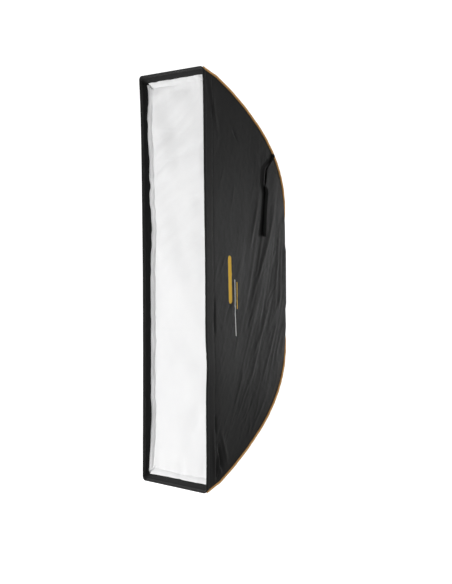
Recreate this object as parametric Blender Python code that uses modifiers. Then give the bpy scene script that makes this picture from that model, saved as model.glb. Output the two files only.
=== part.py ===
"""A strip softbox for a studio flash: a fabric light box 14 in wide and 60 in tall on four hinged
spring-steel rods, with a rotating speed ring, a front diffuser and an inner baffle.

Units are metres, +Z is up and the front of the box faces -Y. The origin is the centre of the
bayonet insert's seat, the face that meets the flash. Turned parts are modelled about Z and then
laid on the Y axis.
"""

import math

import bmesh
import bpy
from mathutils import Matrix, Vector

# Driving dimensions of the fabric box.
HALF_WIDTH = 0.1778  # the 14 in side of the front
HALF_HEIGHT = 0.762  # the 60 in side of the front
DEPTH = 0.520  # seat of the bayonet to the front edge
FRONT_Y = -DEPTH
BACK_Y = -0.005  # outer face of the fabric round the ring
FLAT_HALF = 0.15  # the rods leave the ring straight up to this height
BOW_POWER = 2.4  # how the seam bends forwards from there to the front corner
SPLAY = 0.1877  # how far a seam moves out in X for each metre up
RING_SIDE_X = 0.0880  # the side panels never come closer to the axis than this
SKIN = 0.0012
GAP = 0.0004
SEAM_STEPS = 17
LIP_DEPTH = 0.038  # front edge to the front diffuser
LIP_INSET = 0.0026  # outer face of the fabric to the tape inside it
BORDER_INSET = 0.0046
BORDER_DEPTH = 0.022  # width of the diffuser's fastening border
BAFFLE_Y = -0.262
OPENING_HALF_Z = 0.130  # the hole in the back that the ring and the rod hinges stand in
OPENING_HALF_X = 0.0815
OPENING_CORNER = 0.030
PIPING_RADIUS = 0.0028
HEM_RADIUS = 0.0030

# Driving dimensions of the speed ring, as radii and places along Y.
RING_RADIUS = 0.078
RING_FRONT_Y = -0.014
SEAT_RADIUS = 0.0545
TUBE_RADIUS = 0.0485
BORE_RADIUS = 0.0440
FLANGE_RADIUS = 0.0680
TUBE_BACK_Y = 0.0145
LUG_COUNT = 3
KNOB_X = -0.0640
RUNNING_GAP = 0.0004

# Driving dimensions of the rods and their hinges.
PIN_Y = -0.0142
PIN_Z = 0.0880
ROD_RADIUS = 0.0025
ROD_INSET = 0.0082  # rod centre to the outer face of the fabric
ROD_SIDE_INSET = 0.0078
ROD_TIP_Y = -0.466
BARREL_RADIUS = 0.0088
BARREL_HALF = 0.0072
SLEEVE_RADIUS = 0.0050
EAR_OUTER = 0.0112
EAR_INNER = 0.0077
LEVER_PIN_Y = 0.0012
LEVER_PIN_Z = 0.0795

CORNERS = {"upper_right": (1, 1), "upper_left": (-1, 1), "lower_right": (1, -1), "lower_left": (-1, -1)}


# Scene helpers


def material(name, colour, roughness, metallic=0.0):
    made = bpy.data.materials.new(name)
    made.use_nodes = True
    shader = made.node_tree.nodes["Principled BSDF"]
    shader.inputs["Base Color"].default_value = (*colour, 1.0)
    shader.inputs["Roughness"].default_value = roughness
    shader.inputs["Metallic"].default_value = metallic
    return made


def start_scene():
    for old in list(bpy.data.objects):
        bpy.data.objects.remove(old, do_unlink=True)
    parts = bpy.data.collections.new("strip_softbox")
    cutters = bpy.data.collections.new("cutters")
    bpy.context.scene.collection.children.link(parts)
    bpy.context.scene.collection.children.link(cutters)
    return parts, cutters


PARTS, CUTTERS = start_scene()
BLACK_FABRIC = material("black_fabric", (0.035, 0.035, 0.037), 0.85)
BLACK_TAPE = material("black_tape", (0.02, 0.02, 0.021), 0.95)
WHITE_FABRIC = material("white_fabric", (0.88, 0.88, 0.87), 0.8)
ORANGE = material("orange_piping", (0.85, 0.36, 0.06), 0.6)
SPRING_STEEL = material("spring_steel", (0.55, 0.55, 0.56), 0.3, 1.0)
BLACK_METAL = material("black_metal", (0.03, 0.03, 0.032), 0.45, 0.6)
ALUMINIUM = material("aluminium", (0.75, 0.75, 0.76), 0.35, 1.0)
PLASTIC = material("black_plastic", (0.025, 0.025, 0.026), 0.5)
RUBBER = material("rubber", (0.02, 0.02, 0.02), 0.9)


def keep(obj, name, surface):
    """Names obj, gives it its material and moves it into the part's collection."""
    obj.name = name
    obj.data.name = name
    for owner in list(obj.users_collection):
        owner.objects.unlink(obj)
    PARTS.objects.link(obj)
    obj.data.materials.clear()
    obj.data.materials.append(surface)
    return obj


def as_cutter(obj):
    for owner in list(obj.users_collection):
        owner.objects.unlink(obj)
    CUTTERS.objects.link(obj)
    obj.hide_render = True
    obj.display_type = "WIRE"
    return obj


def block(low, high):
    """A box between two corners, with its origin at its centre and no scale left on it."""
    low, high = Vector(low), Vector(high)
    bpy.ops.mesh.primitive_cube_add(size=1, location=(low + high) / 2)
    obj = bpy.context.object
    size = high - low
    obj.data.transform(Matrix.Diagonal((abs(size.x), abs(size.y), abs(size.z), 1.0)))
    return obj


def rod_between(start, end, radius, sides=16):
    """A cylinder from start to end."""
    start, end = Vector(start), Vector(end)
    along = end - start
    bpy.ops.mesh.primitive_cylinder_add(
        vertices=sides, radius=radius, depth=along.length, location=(start + end) / 2
    )
    obj = bpy.context.object
    obj.rotation_mode = "QUATERNION"
    obj.rotation_quaternion = along.to_track_quat("Z", "Y")
    return obj


def boolean(obj, other, operation):
    """Adds a Boolean of obj with other, which becomes a hidden helper."""
    as_cutter(other)
    step = obj.modifiers.new(operation.lower(), "BOOLEAN")
    step.operation = operation
    step.object = other
    return obj


def cut(obj, other):
    return boolean(obj, other, "DIFFERENCE")


def join(obj, other):
    return boolean(obj, other, "UNION")


def tube(name, points, radius, surface, resolution=1, cyclic=False):
    """A round tube along points."""
    curve = bpy.data.curves.new(name, "CURVE")
    curve.dimensions = "3D"
    curve.bevel_depth = radius
    curve.bevel_resolution = resolution
    curve.use_fill_caps = not cyclic
    spline = curve.splines.new("POLY")
    spline.points.add(len(points) - 1)
    for place, point in zip(spline.points, points):
        place.co = (*point, 1.0)
    spline.use_cyclic_u = cyclic
    return keep(bpy.data.objects.new(name, curve), name, surface)


def turned(name, profile, surface, steps=48):
    """A closed ring turned about Y from (radius, y) points, listed from the front inner corner
    outwards, so that the faces point out."""
    mesh = bpy.data.meshes.new(name)
    count = len(profile)
    mesh.from_pydata(
        [(radius, 0.0, y) for radius, y in profile],
        [(i, (i + 1) % count) for i in range(count)],
        [],
    )
    obj = keep(bpy.data.objects.new(name, mesh), name, surface)
    obj.rotation_euler = (-math.pi / 2, 0.0, 0.0)
    screw = obj.modifiers.new("turn", "SCREW")
    screw.axis = "Z"
    screw.steps = steps
    screw.render_steps = steps
    screw.use_normal_flip = True
    screw.use_merge_vertices = True
    screw.merge_threshold = 0.00001
    return obj


def sheet(name, rows, surface, thickness=SKIN, flip=False, closed=False):
    """A skin lofted through rows of points, thickened towards its back. closed joins the last
    point of each row to the first."""
    mesh = bmesh.new()
    grid = [[mesh.verts.new(point) for point in row] for row in rows]
    width = len(rows[0])
    for lower, upper in zip(grid, grid[1:]):
        for i in range(width if closed else width - 1):
            k = (i + 1) % width
            corners = [lower[i], lower[k], upper[k], upper[i]]
            mesh.faces.new(corners[::-1] if flip else corners)
    data = bpy.data.meshes.new(name)
    mesh.to_mesh(data)
    mesh.free()
    obj = keep(bpy.data.objects.new(name, data), name, surface)
    skin = obj.modifiers.new("thickness", "SOLIDIFY")
    skin.thickness = thickness
    skin.offset = -1.0
    skin.use_even_offset = True
    return obj


def pivot(name, place, pieces):
    """An empty on a joint's axis that carries the pieces which move there."""
    empty = bpy.data.objects.new(name, None)
    empty.empty_display_size = 0.03
    empty.location = place
    PARTS.objects.link(empty)
    for piece in pieces:
        piece.parent = empty
        piece.matrix_parent_inverse = Matrix.Translation(place).inverted()
    return empty


# The shape of the fabric box


def seam_y(z):
    """Where along Y the seam between a side panel and the top or bottom panel runs at height z."""
    rise = max(0.0, abs(z) - FLAT_HALF) / (HALF_HEIGHT - FLAT_HALF)
    return BACK_Y - (BACK_Y - FRONT_Y) * rise**BOW_POWER


def seam_x(z):
    return HALF_WIDTH - SPLAY * (HALF_HEIGHT - abs(z))


def height_at(y):
    """Half the height of the box at y, the reverse of seam_y."""
    share = (BACK_Y - y) / (BACK_Y - FRONT_Y)
    return FLAT_HALF + (HALF_HEIGHT - FLAT_HALF) * share ** (1 / BOW_POWER)


def wall_x(y, z):
    """Outer face of a side panel at y and z."""
    back_x = max(seam_x(z), RING_SIDE_X)
    run = max(seam_y(z) - FRONT_Y, 1e-6)
    return HALF_WIDTH + (back_x - HALF_WIDTH) * min(1.0, (y - FRONT_Y) / run)


def back_edge_x(z):
    """Where a side panel ends on the back of the box: at the seam, or at the hole for the ring."""
    if abs(z) >= OPENING_HALF_Z:
        return seam_x(z)
    narrow = seam_x(OPENING_HALF_Z)
    into_corner = max(0.0, abs(z) - (OPENING_HALF_Z - OPENING_CORNER)) / OPENING_CORNER
    return narrow + (OPENING_HALF_X - narrow) * math.sqrt(1.0 - into_corner**2)


def seam_heights(low, high, count=SEAM_STEPS):
    """Heights along a seam, closer together where it bends most, with its ends at low and high."""
    reach = HALF_HEIGHT - OPENING_HALF_Z
    heights = [OPENING_HALF_Z + reach * (i / (count - 1)) ** 0.85 for i in range(count)]
    clear = 0.3 * reach / count
    return [low] + [z for z in heights if low + clear < z < high - clear] + [high]


def side_row(side, z, count=7):
    """One level line of a side panel: from the front edge to its rear corner, and from there
    across the back of the box to the seam or the hole."""
    front = Vector((side * HALF_WIDTH, FRONT_Y + 0.003, z))
    back_y = seam_y(z)
    corner = Vector((side * max(seam_x(z), RING_SIDE_X), back_y, z))
    end = Vector((side * back_edge_x(z), back_y, z))
    if (corner - end).length < 0.004:
        end = corner
        corner = front.lerp(end, 1.0 - min(0.3, 0.012 / (end - front).length))
    return [front.lerp(corner, i / (count - 1)) for i in range(count)] + [end]


def side_panel(side, name):
    upper = seam_heights(OPENING_HALF_Z, HALF_HEIGHT - 0.008)
    middle = [OPENING_HALF_Z * t for t in (-0.88, -0.6, 0.0, 0.6, 0.88)]
    heights = [-z for z in reversed(upper)] + middle + upper
    rows = [side_row(side, z) for z in heights]
    return sheet(name, rows, BLACK_FABRIC, flip=side < 0)


def end_panel(up, name):
    """The narrow panel over the top or under the bottom, which bends with the seams."""
    heights = seam_heights(OPENING_HALF_Z + 0.001, HALF_HEIGHT - 0.002)
    rows = []
    for z in heights:
        edge = seam_x(z) - 0.0016
        rows.append([(edge * t, seam_y(z), up * z) for t in (-1.0, -0.5, 0.0, 0.5, 1.0)])
    return sheet(name, rows, BLACK_FABRIC, flip=up > 0)


def outward(z):
    """Unit vector in (y, z) that points out of the box, square to the seam, for z above 0."""
    step = 0.001
    slope = (seam_y(z + step) - seam_y(z - step)) / (2 * step)
    length = math.hypot(1.0, slope)
    return Vector((1.0 / length, -slope / length))


def piping(side, up, name):
    """The round trim sewn into a seam."""
    lift = PIPING_RADIUS + 2 * GAP
    points = []
    for z in seam_heights(OPENING_HALF_Z + 0.008, HALF_HEIGHT - 0.006):
        away = outward(z) * lift
        points.append((side * (seam_x(z) + 0.0012), seam_y(z) + away.x, up * (z + away.y)))
    return tube(name, points, PIPING_RADIUS, ORANGE)


def loop(y, inset, per_side=9):
    """Points round the inside of the box at y, inset from the outer face of the fabric."""
    top = height_at(y) - inset
    side_z = [top * (2 * i / (per_side - 1) - 1) for i in range(per_side)]
    right = [(wall_x(y, z) - inset, y, z) for z in side_z]
    left = [(-x, y, -z) for x, _, z in right]
    inner_top = [(right[-1][0] * t, y, top) for t in (0.5, -0.5)]
    inner_bottom = [(-x, y, -z) for x, _, z in inner_top]
    return right + inner_top + left + inner_bottom


def band(name, y_front, y_back, inset, surface, thickness=SKIN):
    """A strip of tape round the inside of the mouth."""
    rows = [loop(y_front, inset), loop((y_front + y_back) / 2, inset), loop(y_back, inset)]
    return sheet(name, rows, surface, thickness, flip=True, closed=True)


def flat_sheet(name, y, inset, surface):
    """A sheet stretched across the box at y."""
    top = height_at(y) - inset
    rows = []
    for i in range(13):
        z = top * (2 * i / 12 - 1)
        edge = wall_x(y, z) - inset
        rows.append([(edge * t, y, z) for t in (-1.0, -0.5, 0.0, 0.5, 1.0)])
    return sheet(name, rows, surface, thickness=0.0010)


def front_hem():
    """The bound edge of the mouth."""
    radius = 0.010
    x, z = HALF_WIDTH - 0.0012, HALF_HEIGHT - 0.0030
    points = []
    for sx, sz, start in ((1, 1, 0.0), (-1, 1, 90.0), (-1, -1, 180.0), (1, -1, 270.0)):
        for turn in (0.0, 30.0, 60.0, 90.0):
            angle = math.radians(start + turn)
            points.append(
                (
                    sx * (x - radius) + radius * math.cos(angle),
                    FRONT_Y - 0.0008,
                    sz * (z - radius) + radius * math.sin(angle),
                )
            )
    return tube("front_hem", points, HEM_RADIUS, BLACK_TAPE, cyclic=True)


def rear_hem():
    """The elastic edge of the hole that the ring stands in."""
    x, z, radius = OPENING_HALF_X + 0.0018, OPENING_HALF_Z + 0.0018, OPENING_CORNER
    points = []
    for sx, sz, start in ((1, 1, 0.0), (-1, 1, 90.0), (-1, -1, 180.0), (1, -1, 270.0)):
        for turn in (0.0, 22.5, 45.0, 67.5, 90.0):
            angle = math.radians(start + turn)
            points.append(
                (
                    sx * (x - radius) + radius * math.cos(angle),
                    BACK_Y + 0.0024 + GAP,
                    sz * (z - radius) + radius * math.sin(angle),
                )
            )
    return tube("rear_hem", points, 0.0022, BLACK_TAPE, cyclic=True)


def tie_strap():
    """The hook-and-loop strap that hangs from the upper right seam, outside the side panel."""
    top_z, bottom_z = 0.462, 0.158
    rows = []
    for i in range(9):
        share = i / 8
        z = top_z + (bottom_z - top_z) * share
        y = -0.125 - 0.033 * share
        half = 0.010
        out = 0.0018 + SKIN
        rows.append([(wall_x(y + d, z) + out, y + d, z) for d in (-half, 0.0, half)])
    return sheet("tie_strap", rows, BLACK_TAPE, flip=False)


def baffle_tab(side, up, name):
    """An elastic tab that holds the edge of the inner baffle to a side panel."""
    z, half = 0.44, 0.010
    inner = wall_x(BAFFLE_Y, z) - 0.0195
    outer = wall_x(BAFFLE_Y, z) - SKIN - 2 * GAP - 0.0020
    obj = block(
        (side * inner, BAFFLE_Y - 0.0012, up * z - half),
        (side * outer, BAFFLE_Y + 0.0002, up * z + half),
    )
    return keep(obj, name, BLACK_TAPE)


# The speed ring


def bayonet_insert():
    """The part that goes into the flash: a flange, the seat, and a tube with three lugs."""
    profile = [
        (BORE_RADIUS, -0.0080),
        (FLANGE_RADIUS, -0.0080),
        (FLANGE_RADIUS, -0.0042),
        (SEAT_RADIUS, -0.0042),
        (SEAT_RADIUS, 0.0),
        (TUBE_RADIUS, 0.0),
        (TUBE_RADIUS, TUBE_BACK_Y),
        (BORE_RADIUS, TUBE_BACK_Y),
    ]
    insert = turned("bayonet_insert", profile, ALUMINIUM)
    for i in range(LUG_COUNT):
        angle = math.pi / 2 + 2 * math.pi * i / LUG_COUNT
        lug = block((-0.010, 0.0095, -0.0030), (0.010, 0.0130, 0.0030))
        lug.rotation_euler = (0.0, math.pi / 2 - angle, 0.0)
        radius = TUBE_RADIUS + 0.0015
        lug.location = (radius * math.cos(angle), 0.01125, radius * math.sin(angle))
        join(insert, lug)
    return insert


def ring_body():
    """The ring that carries the rods and turns round the insert."""
    profile = [
        (FLANGE_RADIUS + RUNNING_GAP, -0.0084),
        (0.0732, -0.0084),
        (0.0732, RING_FRONT_Y),
        (RING_RADIUS, RING_FRONT_Y),
        (RING_RADIUS, 0.0),
        (SEAT_RADIUS + RUNNING_GAP, 0.0),
        (SEAT_RADIUS + RUNNING_GAP, -0.0038),
        (FLANGE_RADIUS + RUNNING_GAP, -0.0038),
    ]
    ring = turned("ring_body", profile, BLACK_METAL)
    return cut(ring, rod_between((KNOB_X, -0.006, 0), (KNOB_X, 0.004, 0), 0.0030))


def retaining_ring():
    """Keeps the insert's flange in the ring body, from the front."""
    profile = [(0.0460, -0.0108), (0.0728, -0.0108), (0.0728, -0.0088), (0.0460, -0.0088)]
    return turned("retaining_ring", profile, BLACK_METAL)


def swivel_knob():
    """The thumbscrew that presses on the insert's flange to stop the ring turning."""
    lobes, mean, wave, sides = 6, 0.0080, 0.0008, 48
    mesh = bmesh.new()
    outline = []
    for i in range(sides):
        angle = 2 * math.pi * i / sides
        radius = mean + wave * math.cos(lobes * angle)
        outline.append(mesh.verts.new((radius * math.cos(angle), 0.0015, radius * math.sin(angle))))
    face = mesh.faces.new(outline)
    pushed = bmesh.ops.extrude_face_region(mesh, geom=[face])
    moved = [v for v in pushed["geom"] if isinstance(v, bmesh.types.BMVert)]
    bmesh.ops.translate(mesh, vec=(0.0, 0.0100, 0.0), verts=moved)
    bmesh.ops.recalc_face_normals(mesh, faces=mesh.faces)
    data = bpy.data.meshes.new("swivel_knob")
    mesh.to_mesh(data)
    mesh.free()
    knob = keep(bpy.data.objects.new("swivel_knob", data), "swivel_knob", PLASTIC)
    knob.location = (KNOB_X, 0.0, 0.0)
    return join(knob, rod_between((KNOB_X, -0.0036, 0), (KNOB_X, 0.004, 0), 0.0025))


# The rods, their hinges and their locks


def rod_line(side, up):
    """Points along a rod, from inside its holder to its tip. It follows the seam, inside it."""
    tip_z = height_at(ROD_TIP_Y)
    heights = [PIN_Z + 0.020, PIN_Z + 0.048] + seam_heights(PIN_Z + 0.070, tip_z, 22)
    points = []
    for z in heights:
        away = outward(z) * ROD_INSET
        points.append((side * (seam_x(z) - ROD_SIDE_INSET), seam_y(z) - away.x, up * (z - away.y)))
    return [Vector(p) for p in points]


def hinge_x(side):
    return side * (seam_x(PIN_Z) - ROD_SIDE_INSET)


def rod_bracket(side, up, name):
    """A clevis on the rim of the ring, with a foot on the ring's front face."""
    x = hinge_x(side)
    ears = block((x - EAR_OUTER, -0.0245, up * 0.0570), (x + EAR_OUTER, 0.0050, up * 0.0985))
    bracket = keep(ears, name, BLACK_METAL)
    cut(bracket, rod_between((0, RING_FRONT_Y - GAP, 0), (0, 0.02, 0), RING_RADIUS + GAP, 64))
    cut(bracket, rod_between((0, -0.04, 0), (0, RING_FRONT_Y - GAP, 0), 0.0620, 64))
    cut(bracket, block((x - EAR_INNER, -0.04, up * 0.0762), (x + EAR_INNER, 0.02, up * 0.12)))
    cut(bracket, block((x - 0.02, -0.04, up * 0.04), (x + 0.02, -0.0185, up * 0.0765)))
    cut(bracket, rod_between((x - 0.02, PIN_Y, up * PIN_Z), (x + 0.02, PIN_Y, up * PIN_Z), 0.0026))
    lever_pin = (LEVER_PIN_Y, up * LEVER_PIN_Z)
    cut(bracket, rod_between((x - 0.02, *lever_pin), (x + 0.02, *lever_pin), 0.0015, 12))
    screw_x, screw_z = screw_place(side)
    hole = rod_between((screw_x, -0.03, up * screw_z), (screw_x, 0.0, up * screw_z), 0.0017, 12)
    return cut(bracket, hole)


def screw_place(side):
    return side * 0.0415, 0.0580


def bracket_screw(side, up, name):
    """The screw that holds a bracket's foot to the ring."""
    x, z = screw_place(side)
    head = rod_between((x, -0.0206, up * z), (x, -0.0189, up * z), 0.0030, 16)
    screw = keep(head, name, BLACK_METAL)
    return join(screw, rod_between((x, -0.0195, up * z), (x, RING_FRONT_Y - GAP, up * z), 0.0013, 12))


def hinge_pin(side, up, name):
    x = hinge_x(side)
    reach = EAR_OUTER + 0.0012
    pin = rod_between((x - reach, PIN_Y, up * PIN_Z), (x + reach, PIN_Y, up * PIN_Z), 0.0023)
    return keep(pin, name, SPRING_STEEL)


def rod_holder(side, up, name):
    """The socket that swings on the hinge pin, with the rod's end in it."""
    x = hinge_x(side)
    line = rod_line(side, up)
    along = (line[1] - line[0]).normalized()
    barrel = rod_between(
        (x - BARREL_HALF, PIN_Y, up * PIN_Z), (x + BARREL_HALF, PIN_Y, up * PIN_Z), BARREL_RADIUS, 32
    )
    holder = keep(barrel, name, PLASTIC)
    base = line[0] - along * 0.019
    join(holder, rod_between(base, line[0] + along * 0.026, SLEEVE_RADIUS, 24))
    cut(holder, rod_between((x - 0.02, PIN_Y, up * PIN_Z), (x + 0.02, PIN_Y, up * PIN_Z), 0.0027))
    notch_z = sorted((up * (PIN_Z - 0.0030), up * (PIN_Z + 0.0010)))
    rear = PIN_Y + BARREL_RADIUS
    cut(holder, block((x - 0.02, rear - 0.0014, notch_z[0]), (x + 0.02, rear + 0.01, notch_z[1])))
    return cut(holder, rod_between(line[0] - along * 0.0006, line[0] + along * 0.05, 0.0030))


def spring_rod(side, up, name):
    return tube(name, rod_line(side, up), ROD_RADIUS, SPRING_STEEL, resolution=2)


def rod_tip(side, up, name):
    """The cap on the end of a rod, which sits in the fabric's corner pocket."""
    line = rod_line(side, up)
    end = line[-1]
    along = (line[-1] - line[-2]).normalized()
    cap = keep(rod_between(end - along * 0.014, end + along * 0.006, 0.0046, 20), name, RUBBER)
    return cut(cap, rod_between(end - along * 0.03, end + along * 0.0006, 0.0031, 16))


def lock_lever(side, up, name):
    """The sprung lever behind a hinge, whose tooth faces the notch in the rod holder's barrel."""
    x = hinge_x(side)
    bar = block((x - 0.0048, -0.0006, up * 0.0770), (x + 0.0006, 0.0030, up * 0.1010))
    lever = keep(bar, name, PLASTIC)
    join(lever, block((x - 0.0048, -0.0006, up * 0.0905), (x + 0.0048, 0.0030, up * 0.1100)))
    join(lever, block((x - 0.0075, 0.0010, up * 0.1030), (x + 0.0075, 0.0060, up * 0.1120)))
    join(lever, block((x - 0.0046, -0.0050, up * 0.0856), (x + 0.0004, 0.0006, up * 0.0882)))
    pin = (LEVER_PIN_Y, up * LEVER_PIN_Z)
    return cut(lever, rod_between((x - 0.02, *pin), (x + 0.02, *pin), 0.0015, 12))


def lever_pin(side, up, name):
    x = hinge_x(side)
    reach = EAR_OUTER + 0.0006
    place = (LEVER_PIN_Y, up * LEVER_PIN_Z)
    return keep(rod_between((x - reach, *place), (x + reach, *place), 0.0012, 12), name, SPRING_STEEL)


def lever_spring(side, up, name):
    """The torsion spring beside the lever, wound round its pin."""
    x = hinge_x(side)
    turns, per_turn, coil = 2.5, 8, 0.0022
    points = []
    for i in range(int(turns * per_turn) + 1):
        angle = 2 * math.pi * i / per_turn
        points.append(
            (
                x + 0.0014 + 0.0013 * i / per_turn,
                LEVER_PIN_Y + coil * math.cos(angle),
                up * (LEVER_PIN_Z + coil * math.sin(angle)),
            )
        )
    return tube(name, points, 0.0004, SPRING_STEEL, resolution=0)


def corner(key, side, up):
    """All the pieces at one rod, returned as (fixed to the ring, on the rod, on the lever)."""
    fixed = [
        rod_bracket(side, up, f"rod_bracket_{key}"),
        bracket_screw(side, up, f"bracket_screw_{key}"),
        hinge_pin(side, up, f"hinge_pin_{key}"),
        lever_pin(side, up, f"lever_pin_{key}"),
        lever_spring(side, up, f"lever_spring_{key}"),
        piping(side, up, f"seam_piping_{key}"),
        baffle_tab(side, up, f"baffle_tab_{key}"),
    ]
    swinging = [
        rod_holder(side, up, f"rod_holder_{key}"),
        spring_rod(side, up, f"spring_rod_{key}"),
        rod_tip(side, up, f"rod_tip_{key}"),
    ]
    lever = lock_lever(side, up, f"lock_lever_{key}")
    x = hinge_x(side)
    rod_pivot = pivot(f"rod_fold_axis_{key}", Vector((x, PIN_Y, up * PIN_Z)), swinging)
    place = Vector((x, LEVER_PIN_Y, up * LEVER_PIN_Z))
    lever_pivot = pivot(f"lock_lever_axis_{key}", place, [lever])
    return fixed + [rod_pivot, lever_pivot]


def shade(obj):
    """Smooth shading on round faces, with edges over 35 degrees kept sharp."""
    if obj.type == "MESH":
        obj.data.shade_smooth()
        obj.data.set_sharp_from_angle(angle=math.radians(35))


def build():
    insert = bayonet_insert()
    on_ring = [ring_body(), retaining_ring()]
    for key, (side, up) in CORNERS.items():
        on_ring += corner(key, side, up)
    on_ring += [side_panel(1, "side_panel_right"), side_panel(-1, "side_panel_left")]
    on_ring += [end_panel(1, "top_panel"), end_panel(-1, "bottom_panel")]
    on_ring += [front_hem(), rear_hem(), tie_strap()]
    tape_back = FRONT_Y + LIP_DEPTH - 0.002
    on_ring.append(band("lip_loop_tape", FRONT_Y + 0.0036, tape_back, LIP_INSET, BLACK_TAPE))

    border_front = FRONT_Y + LIP_DEPTH - BORDER_DEPTH
    border_back = FRONT_Y + LIP_DEPTH - GAP
    border = band("diffuser_border", border_front, border_back, BORDER_INSET, BLACK_TAPE)
    diffuser = flat_sheet("front_diffuser", FRONT_Y + LIP_DEPTH, BORDER_INSET, WHITE_FABRIC)
    baffle = flat_sheet("inner_baffle", BAFFLE_Y, 0.020, WHITE_FABRIC)
    knob = swivel_knob()
    moving = [
        pivot("diffuser_pull_axis", Vector((0, FRONT_Y + LIP_DEPTH, 0)), [diffuser, border]),
        pivot("baffle_pull_axis", Vector((0, BAFFLE_Y, 0)), [baffle]),
        pivot("knob_axis", Vector((KNOB_X, 0, 0)), [knob]),
    ]
    pivot("ring_swivel_axis", Vector((0, 0, 0)), on_ring + moving)
    for obj in [insert] + list(PARTS.objects):
        shade(obj)


build()
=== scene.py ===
import math
from contextlib import contextmanager

import bmesh
import bpy
import numpy as np
from mathutils import Matrix, Vector


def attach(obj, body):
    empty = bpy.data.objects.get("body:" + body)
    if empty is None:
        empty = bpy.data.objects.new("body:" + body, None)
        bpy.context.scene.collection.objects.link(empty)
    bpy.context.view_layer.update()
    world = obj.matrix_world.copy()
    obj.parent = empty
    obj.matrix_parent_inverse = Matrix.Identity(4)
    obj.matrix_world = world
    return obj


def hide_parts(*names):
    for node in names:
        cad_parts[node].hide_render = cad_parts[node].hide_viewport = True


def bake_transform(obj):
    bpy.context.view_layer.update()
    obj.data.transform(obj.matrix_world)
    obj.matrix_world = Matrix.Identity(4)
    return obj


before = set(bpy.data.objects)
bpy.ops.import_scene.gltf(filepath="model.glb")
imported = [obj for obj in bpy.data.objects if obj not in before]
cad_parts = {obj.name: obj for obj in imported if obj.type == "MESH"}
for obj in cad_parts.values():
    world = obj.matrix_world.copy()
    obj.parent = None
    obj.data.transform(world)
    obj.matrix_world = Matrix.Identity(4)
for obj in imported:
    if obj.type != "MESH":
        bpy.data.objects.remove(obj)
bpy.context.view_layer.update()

# The shape of the box, as the CAD has it, in metres.
HALF_WIDTH = 0.1778
HALF_HEIGHT = 0.762
FRONT_Y = -0.520
BACK_Y = -0.005
FLAT_HALF = 0.15  # the back is flat this far up and down from the middle
BOW_POWER = 2.4  # and curves forwards beyond that with this power
SPLAY = 0.1877  # how much nearer each other the seams get, for each metre from the ends
RING_SIDE_X = 0.0880
OPENING_HALF_Z = 0.130
OPENING_HALF_X = 0.0815
OPENING_CORNER = 0.030
MOUTH_CORNER = 0.016  # how round the corners of the mouth are
MOUTH_CORNER_RUN = 0.075  # and how far behind it they turn sharp

# What is sewn into it.
LIP_INSET = 0.0080  # how far inside the box's sides the diffuser's edge lies
END_LIP = 1.35  # the lip is this much thicker along the top and the bottom
RECESS = 0.0265  # front edge to where the diffuser meets the lip
TRAY = 0.0082  # how far the diffuser's middle lies behind its edge
BINDING_PROUD = 0.0013  # how far the binding stands out of the box's sides
SEAM_DEPTH = 0.046  # front edge to the row of stitches behind the lip
SEAM_DIP = 0.0012  # how deep those stitches pull the cloth in
SEAM_DIP_WIDTH = 0.0022
GATHER, GATHER_PITCH, GATHER_RUN = 0.0011, 0.0075, 0.022  # the cloth's gathers at the rear opening
BAFFLE_Y = -0.262
BAFFLE_INSET = 0.020  # from the cloth to the inner baffle's edge
TAB_Z = 0.44  # height of the elastic tabs that hold the baffle
TAB_HALF_WIDTH = 0.0075
TAB_OVERLAP = 0.012  # how much of a tab lies on the baffle
STRAP_WIDTH = 0.0256

# Thicknesses.
SHELL_CLOTH = 0.0009
WHITE_CLOTH = 0.0006
BINDING_TAPE = 0.0009
LOOP_TAPE = 0.0008
ELASTIC_TAPE = 0.0010
STRAP_TAPE = 0.0018
PIPING_RADIUS = 0.0042
ELASTIC_RADIUS = 0.0026
THREAD_RADIUS = 0.0004

# How the pull of the cloth moves the sides of the mouth.
PULL_FROM, PULL_TO = 0.02, 0.30  # behind the front edge, the pull fades over this run
TIP_PULL = 0.235  # which is this much shorter beside the left rods' tips, to clear them
LEFT_BOW, LEFT_PEAK_Z = 0.0105, 0.10
RIGHT_BOW = 0.0045
MOUTH_END_Z = 0.757
BOTTOM_DROP = 0.0032

# Mesh sizes.
SIDE_ROWS = 176  # from the middle of a side panel to its end
WALL_COLUMNS, TURN_COLUMNS, FLAP_COLUMNS = 100, 9, 9  # along its wall, round its turn, on the back
ON_TURN = WALL_COLUMNS + TURN_COLUMNS // 2
END_ROWS, END_COLUMNS = 210, 78
DIFFUSER_ROWS, DIFFUSER_COLUMNS = 260, 96  # from the middle to the edge, each way
BAFFLE_ROWS, BAFFLE_COLUMNS = 80, 44
SEAM_COUNT = 220
CREASE_TRIES = 150
PIPING_SIDES = 12
RIBBON_SIDES = 16
ELASTIC_COUNT, ELASTIC_SIDES = 720, 14

TINY = 1e-6
BANDS_PER_SCALE = 3.1831  # bands to the metre in a wave texture whose scale is 1
FLOOR_Z = -1.35

# Each rod's side, 1 to the right, and its end, 1 at the top.
KEYS = {"upper_right": (1, 1), "upper_left": (-1, 1), "lower_right": (1, -1), "lower_left": (-1, -1)}
HALVES = {"upper": 1, "lower": -1}


# Numbers


def smoothstep(value, low=0.0, high=1.0):
    t = np.clip((value - low) / (high - low), 0.0, 1.0)
    return t * t * (3 - 2 * t)


def lattice(i, j, seed):
    """A fixed number from -1 to 1 for each pair of whole numbers, by an integer hash."""
    mask = 0xFFFFFFFF
    h = (i * 374761393 + j * 668265263 + seed * 974634777) & mask
    h = ((h ^ (h >> 13)) * 1274126177) & mask
    return ((h ^ (h >> 16)) & 0xFFFF) / 32767.5 - 1.0


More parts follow.
